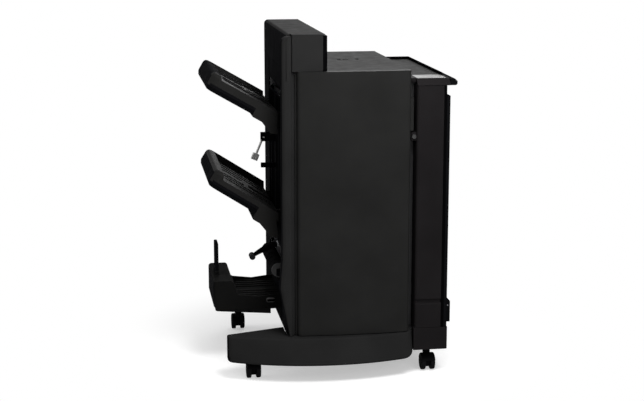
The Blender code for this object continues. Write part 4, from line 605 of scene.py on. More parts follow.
def make_world():
    """White where it is seen, and a soft fill where it lights."""
    world = bpy.data.worlds.new("studio")
    bpy.context.scene.world = world
    nodes = Nodes(world)
    nodes.tree.nodes.clear()
    fill = nodes.add("Background", {"Strength": SKY_FILL, "Color": (*grey(1), 1)})
    seen = nodes.add("Background", {"Color": (*grey(1), 1)})
    mix = nodes.mix(white_rays(nodes), 0, fill, seen)
    nodes.link(mix, 0, nodes.add("OutputWorld"), "Surface")


def make_floor():
    """Pale floor that keeps the shadow near the object and runs out to plain white."""
    shape = bmesh.new()
    half = FLOOR_SIZE / 2
    corners = level(rectangle((-half, -half), (half, half)), 0)
    shape.faces.new([shape.verts.new(corner) for corner in corners])
    floor = object_from(shape)
    floor.name = "floor"
    floor.location = SHADE_CENTRE
    made = bpy.data.materials.new("floor_white")
    nodes = Nodes(made)
    nodes.tree.nodes.clear()
    matt = nodes.add("BsdfDiffuse", {"Color": (*grey(FLOOR_PAINT), 1)})
    glow = nodes.add("Emission", {"Strength": FLOOR_GLOW})
    white = nodes.add("Emission")
    lit = nodes.add("AddShader")
    nodes.link(matt, 0, lit, 0)
    nodes.link(glow, 0, lit, 1)
    length = nodes.add("VectorMath", operation="LENGTH")
    nodes.link(nodes.add("TexCoord"), "Object", length, 0)
    fade = nodes.add("MapRange", {"From Min": FLOOR_LIT, "From Max": FLOOR_FADE},
                     interpolation_type="SMOOTHSTEP")
    nodes.link(length, "Value", fade, "Value")
    far = nodes.mix(fade, "Result", lit, white)
    seen = nodes.mix(white_rays(nodes), 0, matt, far)
    nodes.link(seen, 0, nodes.add("OutputMaterial"), "Surface")
    floor.data.materials.append(made)


def set_up(name, data, place, turn):
    """Puts a lamp or the camera in the scene."""
    made = bpy.data.objects.new(name, data)
    made.location = place
    made.rotation_euler = turn
    bpy.context.scene.collection.objects.link(made)
    return made


def make_lamps():
    """Square soft boxes, each looking at a point."""
    for name, (place, aim, power, size) in LAMPS.items():
        light = bpy.data.lights.new(name, "AREA")
        light.energy = power
        light.size = size
        towards = Vector(aim) - Vector(place)
        set_up(name, light, place, towards.to_track_quat("-Z", "Y").to_euler())


def make_camera():
    """The photograph's camera: slightly left of the door, at the height of a standing viewer."""
    data = bpy.data.cameras.new("camera")
    data.lens = CAMERA_LENS
    data.sensor_width = SENSOR_WIDTH
    bpy.context.scene.camera = set_up("camera", data, CAMERA_PLACE, CAMERA_TURN)


# Front door
def door_front():
    """Front line of the door's plan, bowed outwards, with round corners at both ends."""
    def bow(x):
        share = (x - DOOR_LEFT) / (DOOR_RIGHT - DOOR_LEFT)
        return DOOR_FACE - DOOR_BOW * (1 - (2 * share - 1) ** 2)

    line = [(x, bow(x)) for x in spaced(DOOR_LEFT, DOOR_RIGHT, 28)
            if DOOR_LEFT + DOOR_CORNER < x < DOOR_RIGHT - DOOR_CORNER]
    start = []
    for turn in quarter(8):
        x = DOOR_LEFT + DOOR_CORNER * (1 - math.cos(turn))
        start.append((x, bow(x) + DOOR_CORNER * (1 - math.sin(turn))))
    return start + line + [(DOOR_LEFT + DOOR_RIGHT - x, y) for x, y in reversed(start)]


def front_door():
    """Door skin: bowed front, soft vertical edges, hinge lip, pivot pins and the grip fin."""
    lip = DOOR_LEFT - 0.0052
    plan = door_front() + [(DOOR_RIGHT, DOOR_BACK), (DOOR_LEFT, DOOR_BACK), (DOOR_LEFT, -0.255),
                           (lip, -0.255), (lip, -0.2585), (DOOR_LEFT, -0.2585)]
    door = prism(plan, "Z", DOOR_BOTTOM, DOOR_TOP)
    join(door, plate([(-OVERRUN, 0.006), (0.009, 0.006), (0.009, 0.02), (0.006, 0.02),
                      (0.001, 0.012), (-OVERRUN, 0.012)], [0, 0.003, 0.0012, 0.0012, 0.002, 0],
                     "Z", GRIP_BOTTOM, GRIP_TOP, 4, (DOOR_RIGHT, DOOR_FACE)))
    finish("door_skin", door, "door_black", FINE_EDGE, "front_door", "front_door")
    for name, start, end in (("door_pin_low", 0.13, 0.139), ("door_pin_high", 0.929, 0.935)):
        pin = rod("Z", PIN_CENTRE, 0.004, start, end)
        finish(name, pin, "shaft_steel", FINE_EDGE, body="front_door")


def hinge_strip():
    """Cove between the pillar and the door, clear of the door's swing."""
    cove = plate([(-0.1255, -0.25), (-0.1255, -0.2645), (-0.1232, -0.2645), (-0.1185, -0.2605),
                  (-0.1162, -0.26), (-0.1162, -0.25)], [0, 0, 0.001, 0.004, 0.001, 0],
                 "Z", 0.1375, 0.9315, 4)
    finish("hinge_cove", cove, "cover_black", 0)


def door_inner_panel():
    """Pressed steel inner panel with raised fields, screws and the catch for the release."""
    low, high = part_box("door_inner_panel")
    base = low.y + 0.0014
    panel = plate(rectangle((low.x, low.z), (high.x, high.z)), 0.006, "Y", low.y, base)
    margin = 0.022
    gap = 0.016
    height = (high.z - low.z - 2 * margin - 3 * gap) / 4
    for index in range(4):
        bottom = low.z + margin + index * (height + gap)
        join(panel, pad((low.x + margin, bottom), (high.x - margin, bottom + height), base - FIT,
                        high.y, 0.012, 0.003))
    finish("door_panel", panel, "sheet_steel", HAIR_EDGE, "door_inner_panel", "front_door")
    places = [(x, base, z) for x in (low.x + 0.01, high.x - 0.01)
              for z in (low.z + 0.012, low.z + 0.26, low.z + 0.52, high.z - 0.012)]
    screws("door_screws", places, (0, 1, 0), 0.0032, "front_door")
    catch = plate([(-0.022, 0), (-0.004, 0), (-0.004, 0.01), (-0.009, 0.01), (-0.009, 0.0016),
                   (-0.022, 0.0016)], [0, 0.0006, 0.002, 0.0006, 0.0006, 0.0006],
                  "Z", 0.742, 0.766, 3, (high.x, base))
    finish("door_catch", catch, "latch_steel", HAIR_EDGE, body="front_door")


def door_button():
    """Round release button with a dished face and a ring around it."""
    low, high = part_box("door_button")
    radius = (high.x - low.x) / 2
    button = turned("Y", centre_of("door_button"), [
        (low.y + 0.001, radius * 0.3), (low.y + 0.0004, radius * 0.62), (low.y, radius * 0.8),
        (low.y + 0.0003, radius * 0.92), (low.y + 0.0012, radius), (high.y, radius),
    ])
    finish("release_button", button, "button_grey", 0, "door_button", "door_button")


# Pillar, tower and top cover
def pillar():
    """Corner post: round front edges, a round shoulder, a groove near the top and a flared foot."""
    side = rounded([
        (PILLAR_RIGHT, 0.1353), (-0.133, 0.1353), (-0.1619, 0.282), (-0.155, 0.375),
        (-0.155, PILLAR_TOP), (PILLAR_RIGHT, PILLAR_TOP),
    ], [0, 0, 0.008, 0.06, 0.02, 0], 12)
    rings = []
    for left, z in side:
        if left <= -0.13:
            reach = min(0.013, PILLAR_RIGHT - left - 0.0075)
            plan = [(left, -0.242), (left, DOOR_FACE), (PILLAR_RIGHT, DOOR_FACE),
                    (PILLAR_RIGHT, -0.242)]
            rings.append(level(rounded(plan, [0.001, reach, 0.007, 0.001], 8), z))
    post = cut(lofted(rings), box((-0.1425, DOOR_FACE - OVERRUN, 0.905),
                                  (-0.1395, DOOR_FACE + 0.003, PILLAR_TOP + OVERRUN)))
    finish("corner_post", post, "cover_black", HAIR_EDGE, "front_left_pillar", painted_shade_look="wall_black")


def tower():
    """Tower hood with a round left shoulder, a parting line and a near-black strip at its right edge that
    paints the shade of a rounded edge.
    """
    low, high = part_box("tower_cover")
    hood = plate([
        (-0.1237, -0.2417), (-0.1237, DOOR_FACE), (high.x, DOOR_FACE), (high.x, high.y),
        (low.x, high.y), (low.x, -0.2417),
    ], [0, 0.002, 0, 0.003, 0.003, 0], "Z", low.z, high.z, 5)
    shoulder = high.z - 0.014
    keep_common(hood, plate([
        (low.x - OVERRUN, low.z - OVERRUN), (high.x + OVERRUN, low.z - OVERRUN),
        (high.x + OVERRUN, high.z), (low.x, high.z), (low.x, shoulder), (low.x - OVERRUN, shoulder),
    ], [0, 0, 0, 0.0137, 0, 0], "Y", DOOR_FACE - OVERRUN, high.y + OVERRUN, 12))
    shade_strip_left = high.x - 0.0065
    seam_low, seam_high = high.z - 0.03, high.z - 0.0288
    inside = box((low.x + 0.003, -0.236, low.z - OVERRUN),
                 (high.x - 0.003, high.y - 0.003, high.z - 0.016))
    pin_hole = rod("Z", PIN_CENTRE, 0.0046, low.z - OVERRUN, 0.9358)
    side_seam = box((high.x - 0.0006, -0.245, seam_low), (high.x + OVERRUN, high.y - 0.012, seam_high))
    back_seam = box((low.x + 0.01, high.y - 0.0006, seam_low),
                    (high.x - 0.01, high.y + OVERRUN, seam_high))
    rebate = box((shade_strip_left, DOOR_FACE - OVERRUN, low.z - OVERRUN),
                 (high.x + OVERRUN, DOOR_FACE + 0.005, high.z - 0.004))
    cut(hood, inside, pin_hole, side_seam, back_seam, rebate)
    finish("tower_hood", hood, "cover_black", SOFT_EDGE, "tower_cover", painted_shade_look="wall_black")
    # The near-black strip in the rebate is painted shade for the hood's rounded right edge
    left, right = shade_strip_left + FIT, high.x + 0.0062
    strip = plate([
        (left, DOOR_FACE + 0.0007), (right, DOOR_FACE + 0.0007), (right, DOOR_FACE + 0.025),
        (high.x + FIT, DOOR_FACE + 0.025), (high.x + FIT, DOOR_FACE + 0.0047),
        (left, DOOR_FACE + 0.0047),
    ], [0.0006, 0.003, 0.001, 0, 0, 0], "Z", 0.9325, high.z - 0.0043)
    finish("tower_painted_shade_strip", strip, "trim_black_and_painted_shade", HAIR_EDGE)


def top_cover():
    """Lid over the paper path, with three shallow slots near the tower and a lip at its front."""
    low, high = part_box("top_cover")
    under = high.z - 0.012
    radius = 0.006
    axis_y = 0.317
    turns = [math.pi * step / 14 - math.pi / 2 for step in range(15)]
    section = [(axis_y + radius * math.cos(turn), high.z - radius + radius * math.sin(turn))
               for turn in turns]
    lid = prism(section + [(low.y, high.z), (low.y, under)], "X", low.x, high.x)
    join(lid, box((high.x - 0.003 + FIT, low.y, low.z), (high.x, 0.27, under + OVERRUN)))
    for left, right, y in ((0.062, 0.074, 0.06), (0.08, 0.098, 0.058), (0.12, 0.132, 0.064)):
        cut(lid, plate(rectangle((left, y - 0.012), (right, y + 0.012)), 0.0035, "Z",
                       high.z - 0.003, high.z + OVERRUN))
    cut(lid, box((low.x + 0.01, axis_y - 0.016, high.z - 0.001),
                 (high.x - 0.01, axis_y - 0.0145, high.z + OVERRUN)))
    finish("lid", lid, "top_black", EDGE, "top_cover", "top_cover")


# Base covers
def base_plan(z, inset):
    """Plan of the front base cover at a level: the bow, both rounded ends and the stepped back."""
    share = (z - BASE_BOTTOM) / (BASE_TOP - BASE_BOTTOM)
    short = max(0, BASE_CORNER - (z - BASE_BOTTOM))
    trim = BASE_CORNER - math.sqrt(BASE_CORNER ** 2 - short ** 2)
    apex = BASE_APEX + BASE_LEAN * share + inset
    depth = BOW_AT_FOOT + (BOW_AT_TOP - BOW_AT_FOOT) * share
    left = LEG_END + inset
    right = BASE_RIGHT - max(inset, trim)
    middle = LEG_END + (BASE_RIGHT - LEG_END) * BOW_MIDDLE
    radius = ((middle - LEG_END) ** 2 + depth ** 2) / (2 * depth)
    front = [left] + spaced(left + 0.03, right - 0.034, 30) + [right]
    points = [(x, apex + radius - math.sqrt(radius ** 2 - (x - middle) ** 2)) for x in front]
    points += [(right, -0.241 - inset), (-0.1383 - inset, -0.241 - inset),
               (-0.1383 - inset, -0.16 - inset), (left, -0.214 - inset)]
    radii = [0.025 - inset] + [0] * (len(front) - 2) + [0.03 - inset, 0, 0, 0, 0.002]
    return rounded(points, radii, 8)


def front_base():
    """Bowed base cover, open below: a soft rounded foot line and a crisper upper edge."""
    foot = 0.008
    lip = 0.006
    levels = [(BASE_TOP - 0.004, foot), (BASE_BOTTOM, foot)]
    levels += [(BASE_BOTTOM + foot * (1 - math.cos(turn)), foot * (1 - math.sin(turn)))
               for turn in quarter(5)]
    levels += [(BASE_BOTTOM + rise, 0) for rise in (0.01, 0.0125, 0.016, BASE_CORNER)]
    levels += [(BASE_TOP - lip + lip * math.sin(turn), lip * (1 - math.cos(turn)))
               for turn in quarter(5)]
    cover = lofted([level(base_plan(z, inset), z) for z, inset in levels])
    finish("base_front", cover, "cover_black", 0, "front_base_cover", painted_shade_look="wall_black")


def base_covers():
    """The other covers and the steel of the base."""
    front_base()
    dress("cover_black", SOFT_EDGE, "rear_base_cover")
    dress("inlet_black", EDGE, "inlet_base_cover")
    dress("unit_black", HAIR_EDGE, "front_base_beam", "rear_base_beam", "floor_plate")


# Inlet side
def inlet_ring(z, inset):
    """Plan of the inlet's front panels at a level, its face set back by an inset."""
    step_x = INLET_LEFT + 0.003
    return level(rounded([
        (INLET_LEFT, DOOR_FACE + inset), (INLET_PANEL_RIGHT, DOOR_FACE + inset),
        (INLET_PANEL_RIGHT, INLET_STEP_Y), (step_x, INLET_STEP_Y), (step_x, INLET_BACK_Y),
        (INLET_LEFT, INLET_BACK_Y),
    ], [0.009, 0.0038, 0, 0, 0, 0], 8), z)


def inlet_panels():
    """Front panels with soft edges around the band between them, and a near-black strip beside them that
    paints the shade of their rounded edge.
    """
    soft = 0.0055
    bend = [(soft * (1 - math.cos(turn)), soft * (1 - math.sin(turn))) for turn in quarter(5)]
    upper = lofted([inlet_ring(0.2323 + rise, inset) for rise, inset in bend]
                   + [inlet_ring(INLET_TOP, 0)])
    join(upper, box((0.234, -0.263, 0.722), (INLET_LEFT + 0.003, INLET_BACK_Y, 0.746)))
    cut(upper, rod("Y", (0.2415, 0.734), 0.0068, -0.28, -0.2487))
    finish("inlet_upper", upper, "inlet_black", HAIR_EDGE, "inlet_front_panel")
    lower = lofted([inlet_ring(INLET_BOTTOM, 0)]
                   + [inlet_ring(0.2222 - drop, inset) for drop, inset in reversed(bend)]
                   + [inlet_ring(0.2317, soft)])
    finish("inlet_lower", lower, "inlet_black", HAIR_EDGE, "inlet_lower_panel")
    # Painted shade: a near-black strip for the panels' rounded right edge
    strip = plate([
        (INLET_PANEL_RIGHT + FIT, DOOR_FACE + 0.0006), (INLET_SHADE_STRIP_RIGHT, DOOR_FACE + 0.0006),
        (INLET_SHADE_STRIP_RIGHT, INLET_STEP_Y), (INLET_PANEL_RIGHT + FIT, INLET_STEP_Y),
    ], [0.001, 0.0005, 0, 0], "Z", INLET_BOTTOM, INLET_TOP, 4)
    finish("inlet_painted_shade_strip", strip, "trim_black_and_painted_shade", 0)


def inlet_top():
    """Top of the inlet section: satin cap at its front, partly a painted highlight, and the raised rim
    behind and beside it, with painted shade before the rim.
    """
    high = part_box("inlet_top_cover")[1]
    dress("inlet_black", EDGE, "inlet_top_cover")
    left = DOOR_RIGHT + 0.0012
    right = 0.3393
    cap = rounded(rectangle((INLET_LEFT + 0.002, -0.2535), (0.3385, -0.17)), 0.0025, 4)
    skin = rectangle((left, -0.2425), (right, high.y - 0.0404))
    rim = rounded([
        (left, high.y - 0.01), (0.3395, high.y - 0.01), (0.3395, -0.165),
        (high.x - FIT, -0.165), (high.x - FIT, high.y), (left, high.y),
    ], [0.001, 0, 0.003, 0.003, 0.003, 0.001], 4)
    strip = rectangle((left, high.y - 0.04), (right, high.y - 0.0102))
    # The cap's lighter grey is partly a painted highlight; the rim and the band before it take the
    # near-black of painted shade
    for name, outline, rise, look, edge in (
            ("inlet_cap", cap, 0.0012, "satin_and_painted_highlight", FINE_EDGE),
            ("inlet_top_skin", skin, 0.0005, "top_black", 0),
            ("inlet_rim", rim, 0.0068, "trim_black_and_painted_shade", EDGE),
            ("inlet_rear_strip", strip, 0.0008, "trim_black_and_painted_shade", HAIR_EDGE)):
        finish(name, prism(outline, "Z", high.z - FIT, high.z + rise), look, edge)


def inlet_side():
    """The inlet section's covers, its guide nose and the docking parts."""
    inlet_panels()
    inlet_top()
    dress("wall_black", EDGE, "inlet_side_cover", "inlet_guide", "docking_bracket")
    dress("motor_metal", FINE_EDGE, "docking_latch")
    places = [(0.3488, y, z) for y, z in ((-0.18, 0.17), (-0.25, 0.42), (-0.25, 0.8),
                                          (0.295, 0.17), (0.295, 0.42), (0.295, 0.8))]
    screws("side_screws", places, (1, 0, 0), 0.003)


# Rear cover
def rear_cover():
    """Flat rear cover with louvres, a raised border, screws and the window for the inlet."""
    low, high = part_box("rear_cover")
    outer, field = [stepped(low.x + inset, low.z + inset, high.x - inset, high.z - inset,
                            DOOR_RIGHT - inset, STEP_TOP - inset) for inset in (0, 0.014)]
    sheet = plate(outer, 0.002, "Y", low.y, high.y - 0.0014, 3)
    join(sheet, plate(field, 0.01, "Y", high.y - 0.002, high.y))
    socket_low, socket_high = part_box("power_inlet")
    rim = 0.0037
    cut(sheet, box((socket_low.x + rim, low.y - OVERRUN, socket_low.z + rim),
                   (socket_high.x - rim, high.y + OVERRUN, socket_high.z - rim)))
    slots = []
    for left in (-0.08, 0.085):
        for row in range(12):
            bottom = 0.64 + row * 0.0155
            slots.append(plate(rectangle((left, bottom), (left + 0.14, bottom + 0.0055)), 0.0026,
                               "Y", low.y - OVERRUN, high.y + OVERRUN, 4))
    cut(sheet, merged(slots))
    finish("rear_sheet", sheet, "cover_black", HAIR_EDGE, "rear_cover")
    seat = high.y - 0.002
    places = [(x, seat, z) for x in (low.x + 0.007, high.x - 0.007)
              for z in (low.z + 0.01, 0.36, 0.62, 0.885)]
    places += [(x, seat, high.z - 0.007) for x in (0.02, 0.16)]
    screws("rear_screws", places, (0, 1, 0), 0.0031)


def power_inlet():
    """Appliance inlet: a socket body with its recess, and three separate blades."""
    low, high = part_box("power_inlet")
    wall = 0.004
    left, right = low.x + wall, high.x - wall
    bottom, top = low.z + wall, high.z - wall
    socket = box((left, low.y, bottom), (right, high.y, top))
    join(socket, box(low, (high.x, high.y - 0.0033, high.z)))
    cut(socket, plate(rectangle((left, bottom), (right, top), 0.003), [0.001, 0.001, 0.006, 0.006],
                      "Y", high.y - 0.014, high.y + OVERRUN, 4))
    finish("socket", socket, "socket_black", HAIR_EDGE, "power_inlet")
    blades = []
    for shift, rise in ((-0.007, -0.002), (0, 0.002), (0.007, -0.002)):
        x, z = (left + right) / 2 + shift, (bottom + top) / 2 + rise
        blades.append(box((x - 0.001, high.y - 0.016, z - 0.002), (x + 0.001, high.y - 0.003, z + 0.002)))
    finish("socket_blades", merged(blades), "latch_steel", HAIR_EDGE)


# Delivery wall and what hangs on it
def delivery_wall():
    """Wall panels and lift rails, with guide ribs for the stacks on the middle panel."""
    dress("wall_black", FINE_EDGE, "delivery_front_panel", "delivery_rear_panel",
          "delivery_bottom_panel", "delivery_top_panel", "delivery_middle_panel")
    low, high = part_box("delivery_middle_panel")
    face = -0.138
    ribs = []
    for y in (-0.088, -0.045, -0.008, 0.064, 0.105, 0.16):
        ribs.append(plate([(0.001, -0.0022), (0.001, 0.0022), (-0.003, 0.0012), (-0.003, -0.0012)],
                          [0, 0, 0.0008, 0.0008], "Z", low.z + 0.01, high.z - 0.004, 3, (face, y)))
    finish("wall_ribs", merged(ribs), "wall_black", 0)
    dress("shaft_steel", HAIR_EDGE, "front_lift_rail", "rear_lift_rail")


def tray_frame(root, slope):
    """Matrix from a tray's own frame (out, across, up) to the world."""
    out = Vector((-math.cos(slope), 0, math.sin(slope)))
    up = Vector((math.sin(slope), 0, math.cos(slope)))
    matrix = Matrix((out, (0, 1, 0), up)).transposed().to_4x4()
    return Matrix.Translation(root) @ matrix


def tray_outline(start, end, inset):
    """Plan of a tray's slab or undercover in its own frame, round at its outer corners."""
    corner = TRAY_CORNER - inset
    return rounded([(start, TRAY_FRONT + inset), (end, TRAY_FRONT + inset), (end, TRAY_REAR - inset),
                    (start, TRAY_REAR - inset)], [0, corner, corner, 0], 10)


def flag_notch(height):
    """Upright body that opens a tray and its undercover where the stack flag passes."""
    return plate(rectangle((-0.072, -0.024), (0.02, 0.024)), [0.004, 0, 0, 0.004], "Z",
                 height - 0.12, height + 0.1, 4, (TRAY_ROOT_X, TRAY_MIDDLE))


def tray_shell(place, height, root_depth, block_length, block_step, dish_depth):
    """Round-edged slab with its deep root block, sunken bed, notch and arms.

    The bed is open at the front and at the wall, and the rear rim stands above it.
    """
    levels = [(-TRAY_SHELL, 0)]
    levels += [(-TRAY_ROUND + TRAY_ROUND * math.sin(turn), TRAY_ROUND * (1 - math.cos(turn)))
               for turn in quarter(6)]
    shell = lofted([placed(tray_outline(-0.06, TRAY_LENGTH - inset, inset), w, place)
                    for w, inset in levels])
    foot = height - root_depth
    start, kink, corner, inner = [place @ Vector((u, 0, w)) for u, w in (
        (0, -dish_depth - 0.002), (0.021, -TRAY_THICKNESS - block_step),
        (block_length, -TRAY_THICKNESS - block_step), (block_length, -TRAY_SHELL + TRAY_ROUND))]
    cut(shell, box((TRAY_ROOT_X, TRAY_FRONT - OVERRUN, foot - 0.1),
                   (TRAY_ROOT_X + 0.1, TRAY_REAR + OVERRUN, height + 0.1)))
    join(shell, plate([
        (start.x, start.z), (TRAY_ROOT_X, foot), (TRAY_ROOT_X - 0.023, foot + 0.003),
        (kink.x, kink.z), (corner.x, corner.z), (inner.x, inner.z),
    ], [0, 0.003, 0.008, 0.006, 0.005, 0], "Y", TRAY_FRONT, TRAY_REAR, 4))
    rings = []
    for grow, rise, w in ((0, 0, -dish_depth), (0.01, 0.003, OVERRUN)):
        bed = rectangle((-0.07, TRAY_FRONT - 0.02), (BED_END + grow, TRAY_REAR - RIM + rise))
        rings.append(placed(rounded(bed, [0, 0, 0.016, 0], 8), w, place))
    cut(shell, lofted(rings), flag_notch(height))
    for y in (-0.112, 0.188):
        join(shell, box((TRAY_ROOT_X - OVERRUN, y - 0.0067, height - 0.066),
                        (-0.1285, y + 0.0067, height - 0.022)))
    return shell


def output_tray(name, height, slope_degrees, root_depth, block_length, block_step, dish_depth,
                painted_shade_tip):
    """A lift tray: its shell with a darker bed and, where asked, painted shade near its tip; the bed's
    ribs; and the undercover.
    """
    place = tray_frame((TRAY_ROOT_X, 0, height), math.radians(slope_degrees))
    shell = tray_shell(place, height, root_depth, block_length, block_step, dish_depth)
    finish(name + "_shell", shell, "tray_black", EDGE, name, name, "wall_black")
    shell.data.materials.append(LOOKS["bed_black"])
    back = place.inverted()
    for face in shell.data.polygons:
        spot = back @ face.center
        if (back.to_3x3() @ face.normal).z > 0.95 and abs(spot.z + dish_depth) < 0.001:
            face.material_index = 2
        # Painted shade near the tip: those faces take the second, darker look of the shaded side
        elif painted_shade_tip and spot.x > TRAY_LENGTH - 0.036 and spot.y > -0.11:
            face.material_index = 1
    ribs = []
    for y in (-0.096, -0.052, -0.008, 0.064, 0.108, 0.152, 0.196):
        first = 0.008 if abs(y - TRAY_MIDDLE) > 0.04 else 0.094
        rib = plate([(-0.0018, 0), (0.0018, 0), (0.001, 0.0028), (-0.001, 0.0028)],
                    [0, 0, 0.0007, 0.0007], "X", first, BED_END - 0.012, 3,
                    (y, -dish_depth - 0.0005))
        ribs.append(moved(rib, place))
    finish(name + "_ribs", merged(ribs), "bed_black", 0, body=name)
    tray_undercover(name, place, height, block_length)


def tray_undercover(name, place, height, block_length):
    """Shallow drafted cover below the slab, its lip over the cheek's lower edge, and its screws."""
    rings = []
    for w, inset in ((-0.033, -0.0004), (-0.0334, -0.0008), (-0.0415, -0.0008),
                     (-0.043, 0.0008), (-0.0525, 0.006), (-0.0545, 0.0085), (-0.055, 0.012)):
        reach = TRAY_LENGTH - max(inset, FIT)
        rings.append(placed(tray_outline(block_length + FIT, reach, inset), w, place))
    under = cut(lofted(rings), flag_notch(height))
    # The undercover takes the near-black with painted shade, for the band in shade under the slab
    finish(name + "_under", under, "wall_black", FINE_EDGE, name + "_undercover", name)
    down = place.to_3x3() @ Vector((0, 0, -1))
    spots = [place @ Vector((u, v, -TRAY_THICKNESS)) + down * -0.0024
             for u in (0.075, 0.185) for v in (-0.14, 0.216)]
    screws(name + "_screws", spots, down, 0.0034, name)


def stack_flag():
    """Grey paddle with a stiffening rib, hung on its pin between the wall's lugs."""
    dress("flag_grey", FINE_EDGE, "stack_flag")


def press_arm(middle, pivot, nose):
    """Thick arched arm over the booklet exit, with hubs at both ends, its pin and three pockets."""
    def spine(share):
        arch = math.sin(math.pi * share)
        return (pivot[0] + (nose[0] - pivot[0]) * share,
                pivot[1] + (nose[1] - pivot[1]) * share + 0.01 * arch, arch)

    line = [spine(step / 16) for step in range(17)]
    outline = [(x, z + 0.005) for x, z, _ in line]
    outline += [(x, z - 0.005 - 0.008 * arch) for x, z, arch in reversed(line)]
    arm = prism(outline, "Y", middle - 0.005, middle + 0.005)
    for centre in (pivot, nose):
        join(arm, rod("Y", centre, 0.0065, middle - 0.005, middle + 0.005))
    join(arm, rod("Y", pivot, 0.003, middle - 0.0093, middle + 0.0093))
    cut(arm, rod("Y", nose, 0.0028, middle - 0.02, middle + 0.02))
    for share in (0.3, 0.52, 0.72):
        x, z, _ = spine(share)
        cut(arm, rod("Y", (x, z - 0.004), 0.0045, middle - 0.02, middle - 0.0035))
    finish("press_arm", arm, "wall_black", HAIR_EDGE, "booklet_press_arm", "press_arm")


def booklet_exit():
    """Exit roller, the press arm and its twin roller with grooved treads."""
    low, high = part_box("booklet_press_arm")
    middle = (low.y + high.y) / 2
    nose = (-0.215, 0.315)
    press_arm(middle, (-0.128, 0.352), nose)
    wheel = [(0.0053, 0.0025), (0.0053, 0.0088), (0.0062, 0.0095), (0.009, 0.0095),
             (0.0096, 0.0087), (0.0104, 0.0087), (0.011, 0.0095), (0.0142, 0.0095),
             (0.0153, 0.0085)]
    finish("press_wheels", turned("Y", nose, mirrored(middle, wheel), 40), "roller_rubber", 0,
           "press_roller", "press_roller")
    centre = (-0.146, 0.3)
    sleeved_roller("booklet_exit_roller", centre, 0.0225, EXIT_SPAN, 6, "rubber_dark", 0.004)
    disc = turned("Y", centre, [
        (-0.103, 0.0045), (-0.1034, 0.008), (-0.1022, 0.01), (-0.1022, 0.018),
        (-0.1032, 0.0195), (-0.103, 0.0215), (-0.102, 0.022), (-0.0996, 0.022),
    ])
    finish("exit_roller_disc", disc, "roller_dark", 0, body="booklet_exit_roller")


def booklet_tray():
    """Low tray: sunken ribbed bed, thick end wall with the stop's lugs, a grip pad and the stop."""
    low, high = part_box("booklet_tray")
    wall = low.x + 0.072
    bed = 0.222
    tray = plate([
        (low.x + 0.01, low.z), (high.x, low.z), (high.x, bed), ((wall + high.x) / 2, bed - 0.008),
        (wall, bed), (wall - 0.012, 0.267), (low.x, 0.267), (low.x, low.z + 0.01),
    ], [0.01, 0.002, 0, 0, 0.014, 0.01, 0.008, 0.004], "Y", low.y, high.y, 8)
    keep_common(tray, plate(rectangle(low, (high.x + OVERRUN, high.y)), [0.014, 0, 0, 0.014], "Z",
                            low.z - OVERRUN, high.z + OVERRUN, 8))
    cut(tray, plate(rectangle((wall + 0.004, low.y + 0.008), (high.x + OVERRUN, high.y - 0.008)),
                    [0.006, 0, 0, 0.006], "Z", bed - 0.0125, bed + 0.02, 5))
    stop_x = low.x + 0.018
    for start, end in ((-STOP_PIN_HALF, -0.0303), (0.0303, STOP_PIN_HALF)):
        join(tray, plate([(-0.007, 0.262), (0.007, 0.262), (0.005, 0.279), (-0.005, 0.279)],
                         [0, 0, 0.0045, 0.0045], "Y", TRAY_MIDDLE + start, TRAY_MIDDLE + end, 6,
                         (stop_x, 0)))
    cut(tray, rod("Y", (stop_x, STOP_Z), 0.0028, -0.02, 0.08))
    finish("low_tray", tray, "low_black", EDGE, "booklet_tray", painted_shade_look="wall_black")
    grip = pad((-0.184, 0.194), (-0.156, 0.21), low.y + FIT, low.y - 0.005, 0.007, 0.003)
    finish("booklet_grip", grip, "roller_dark", HAIR_EDGE)
    ribs = [box((wall + 0.008, y - 0.0015, bed - 0.013), (high.x - 0.002, y + 0.0015, bed - 0.0098))
            for y in (-0.07, -0.046, -0.022, 0.002, 0.054, 0.078, 0.102, 0.126)]
    finish("booklet_ribs", merged(ribs), "tray_black", HAIR_EDGE)
    booklet_stop(stop_x)


def booklet_stop(stop_x):
    """Fold-down stop: an upright plate with sunken fields, on its hub and pin."""
    left, right = TRAY_MIDDLE - 0.03, TRAY_MIDDLE + 0.03
    stop = plate([(-0.005, STOP_Z), (0.005, STOP_Z), (0.005, STOP_TOP), (-0.005, STOP_TOP)],
                 [0, 0, 0.004, 0.004], "Y", left, right, 5, (stop_x, 0))
    keep_common(stop, plate(rectangle((left, 0.26), (right, STOP_TOP)), [0, 0, 0.01, 0.01], "X",
                            stop_x - 0.02, stop_x + 0.02, 8))
    hinge = (stop_x, STOP_Z)
    join(stop, rod("Y", hinge, 0.005, left, right),
         rod("Y", hinge, 0.0025, TRAY_MIDDLE - STOP_PIN_HALF, TRAY_MIDDLE + STOP_PIN_HALF))
    for side in (-1, 1):
        field = rectangle((TRAY_MIDDLE - 0.021, 0.288), (TRAY_MIDDLE + 0.021, 0.356))
        cut(stop, plate(field, 0.006, "X", stop_x + side * 0.0032, stop_x + side * 0.02, 5))
    finish("stop_plate", stop, "wall_black", FINE_EDGE, "booklet_stop", "booklet_stop")


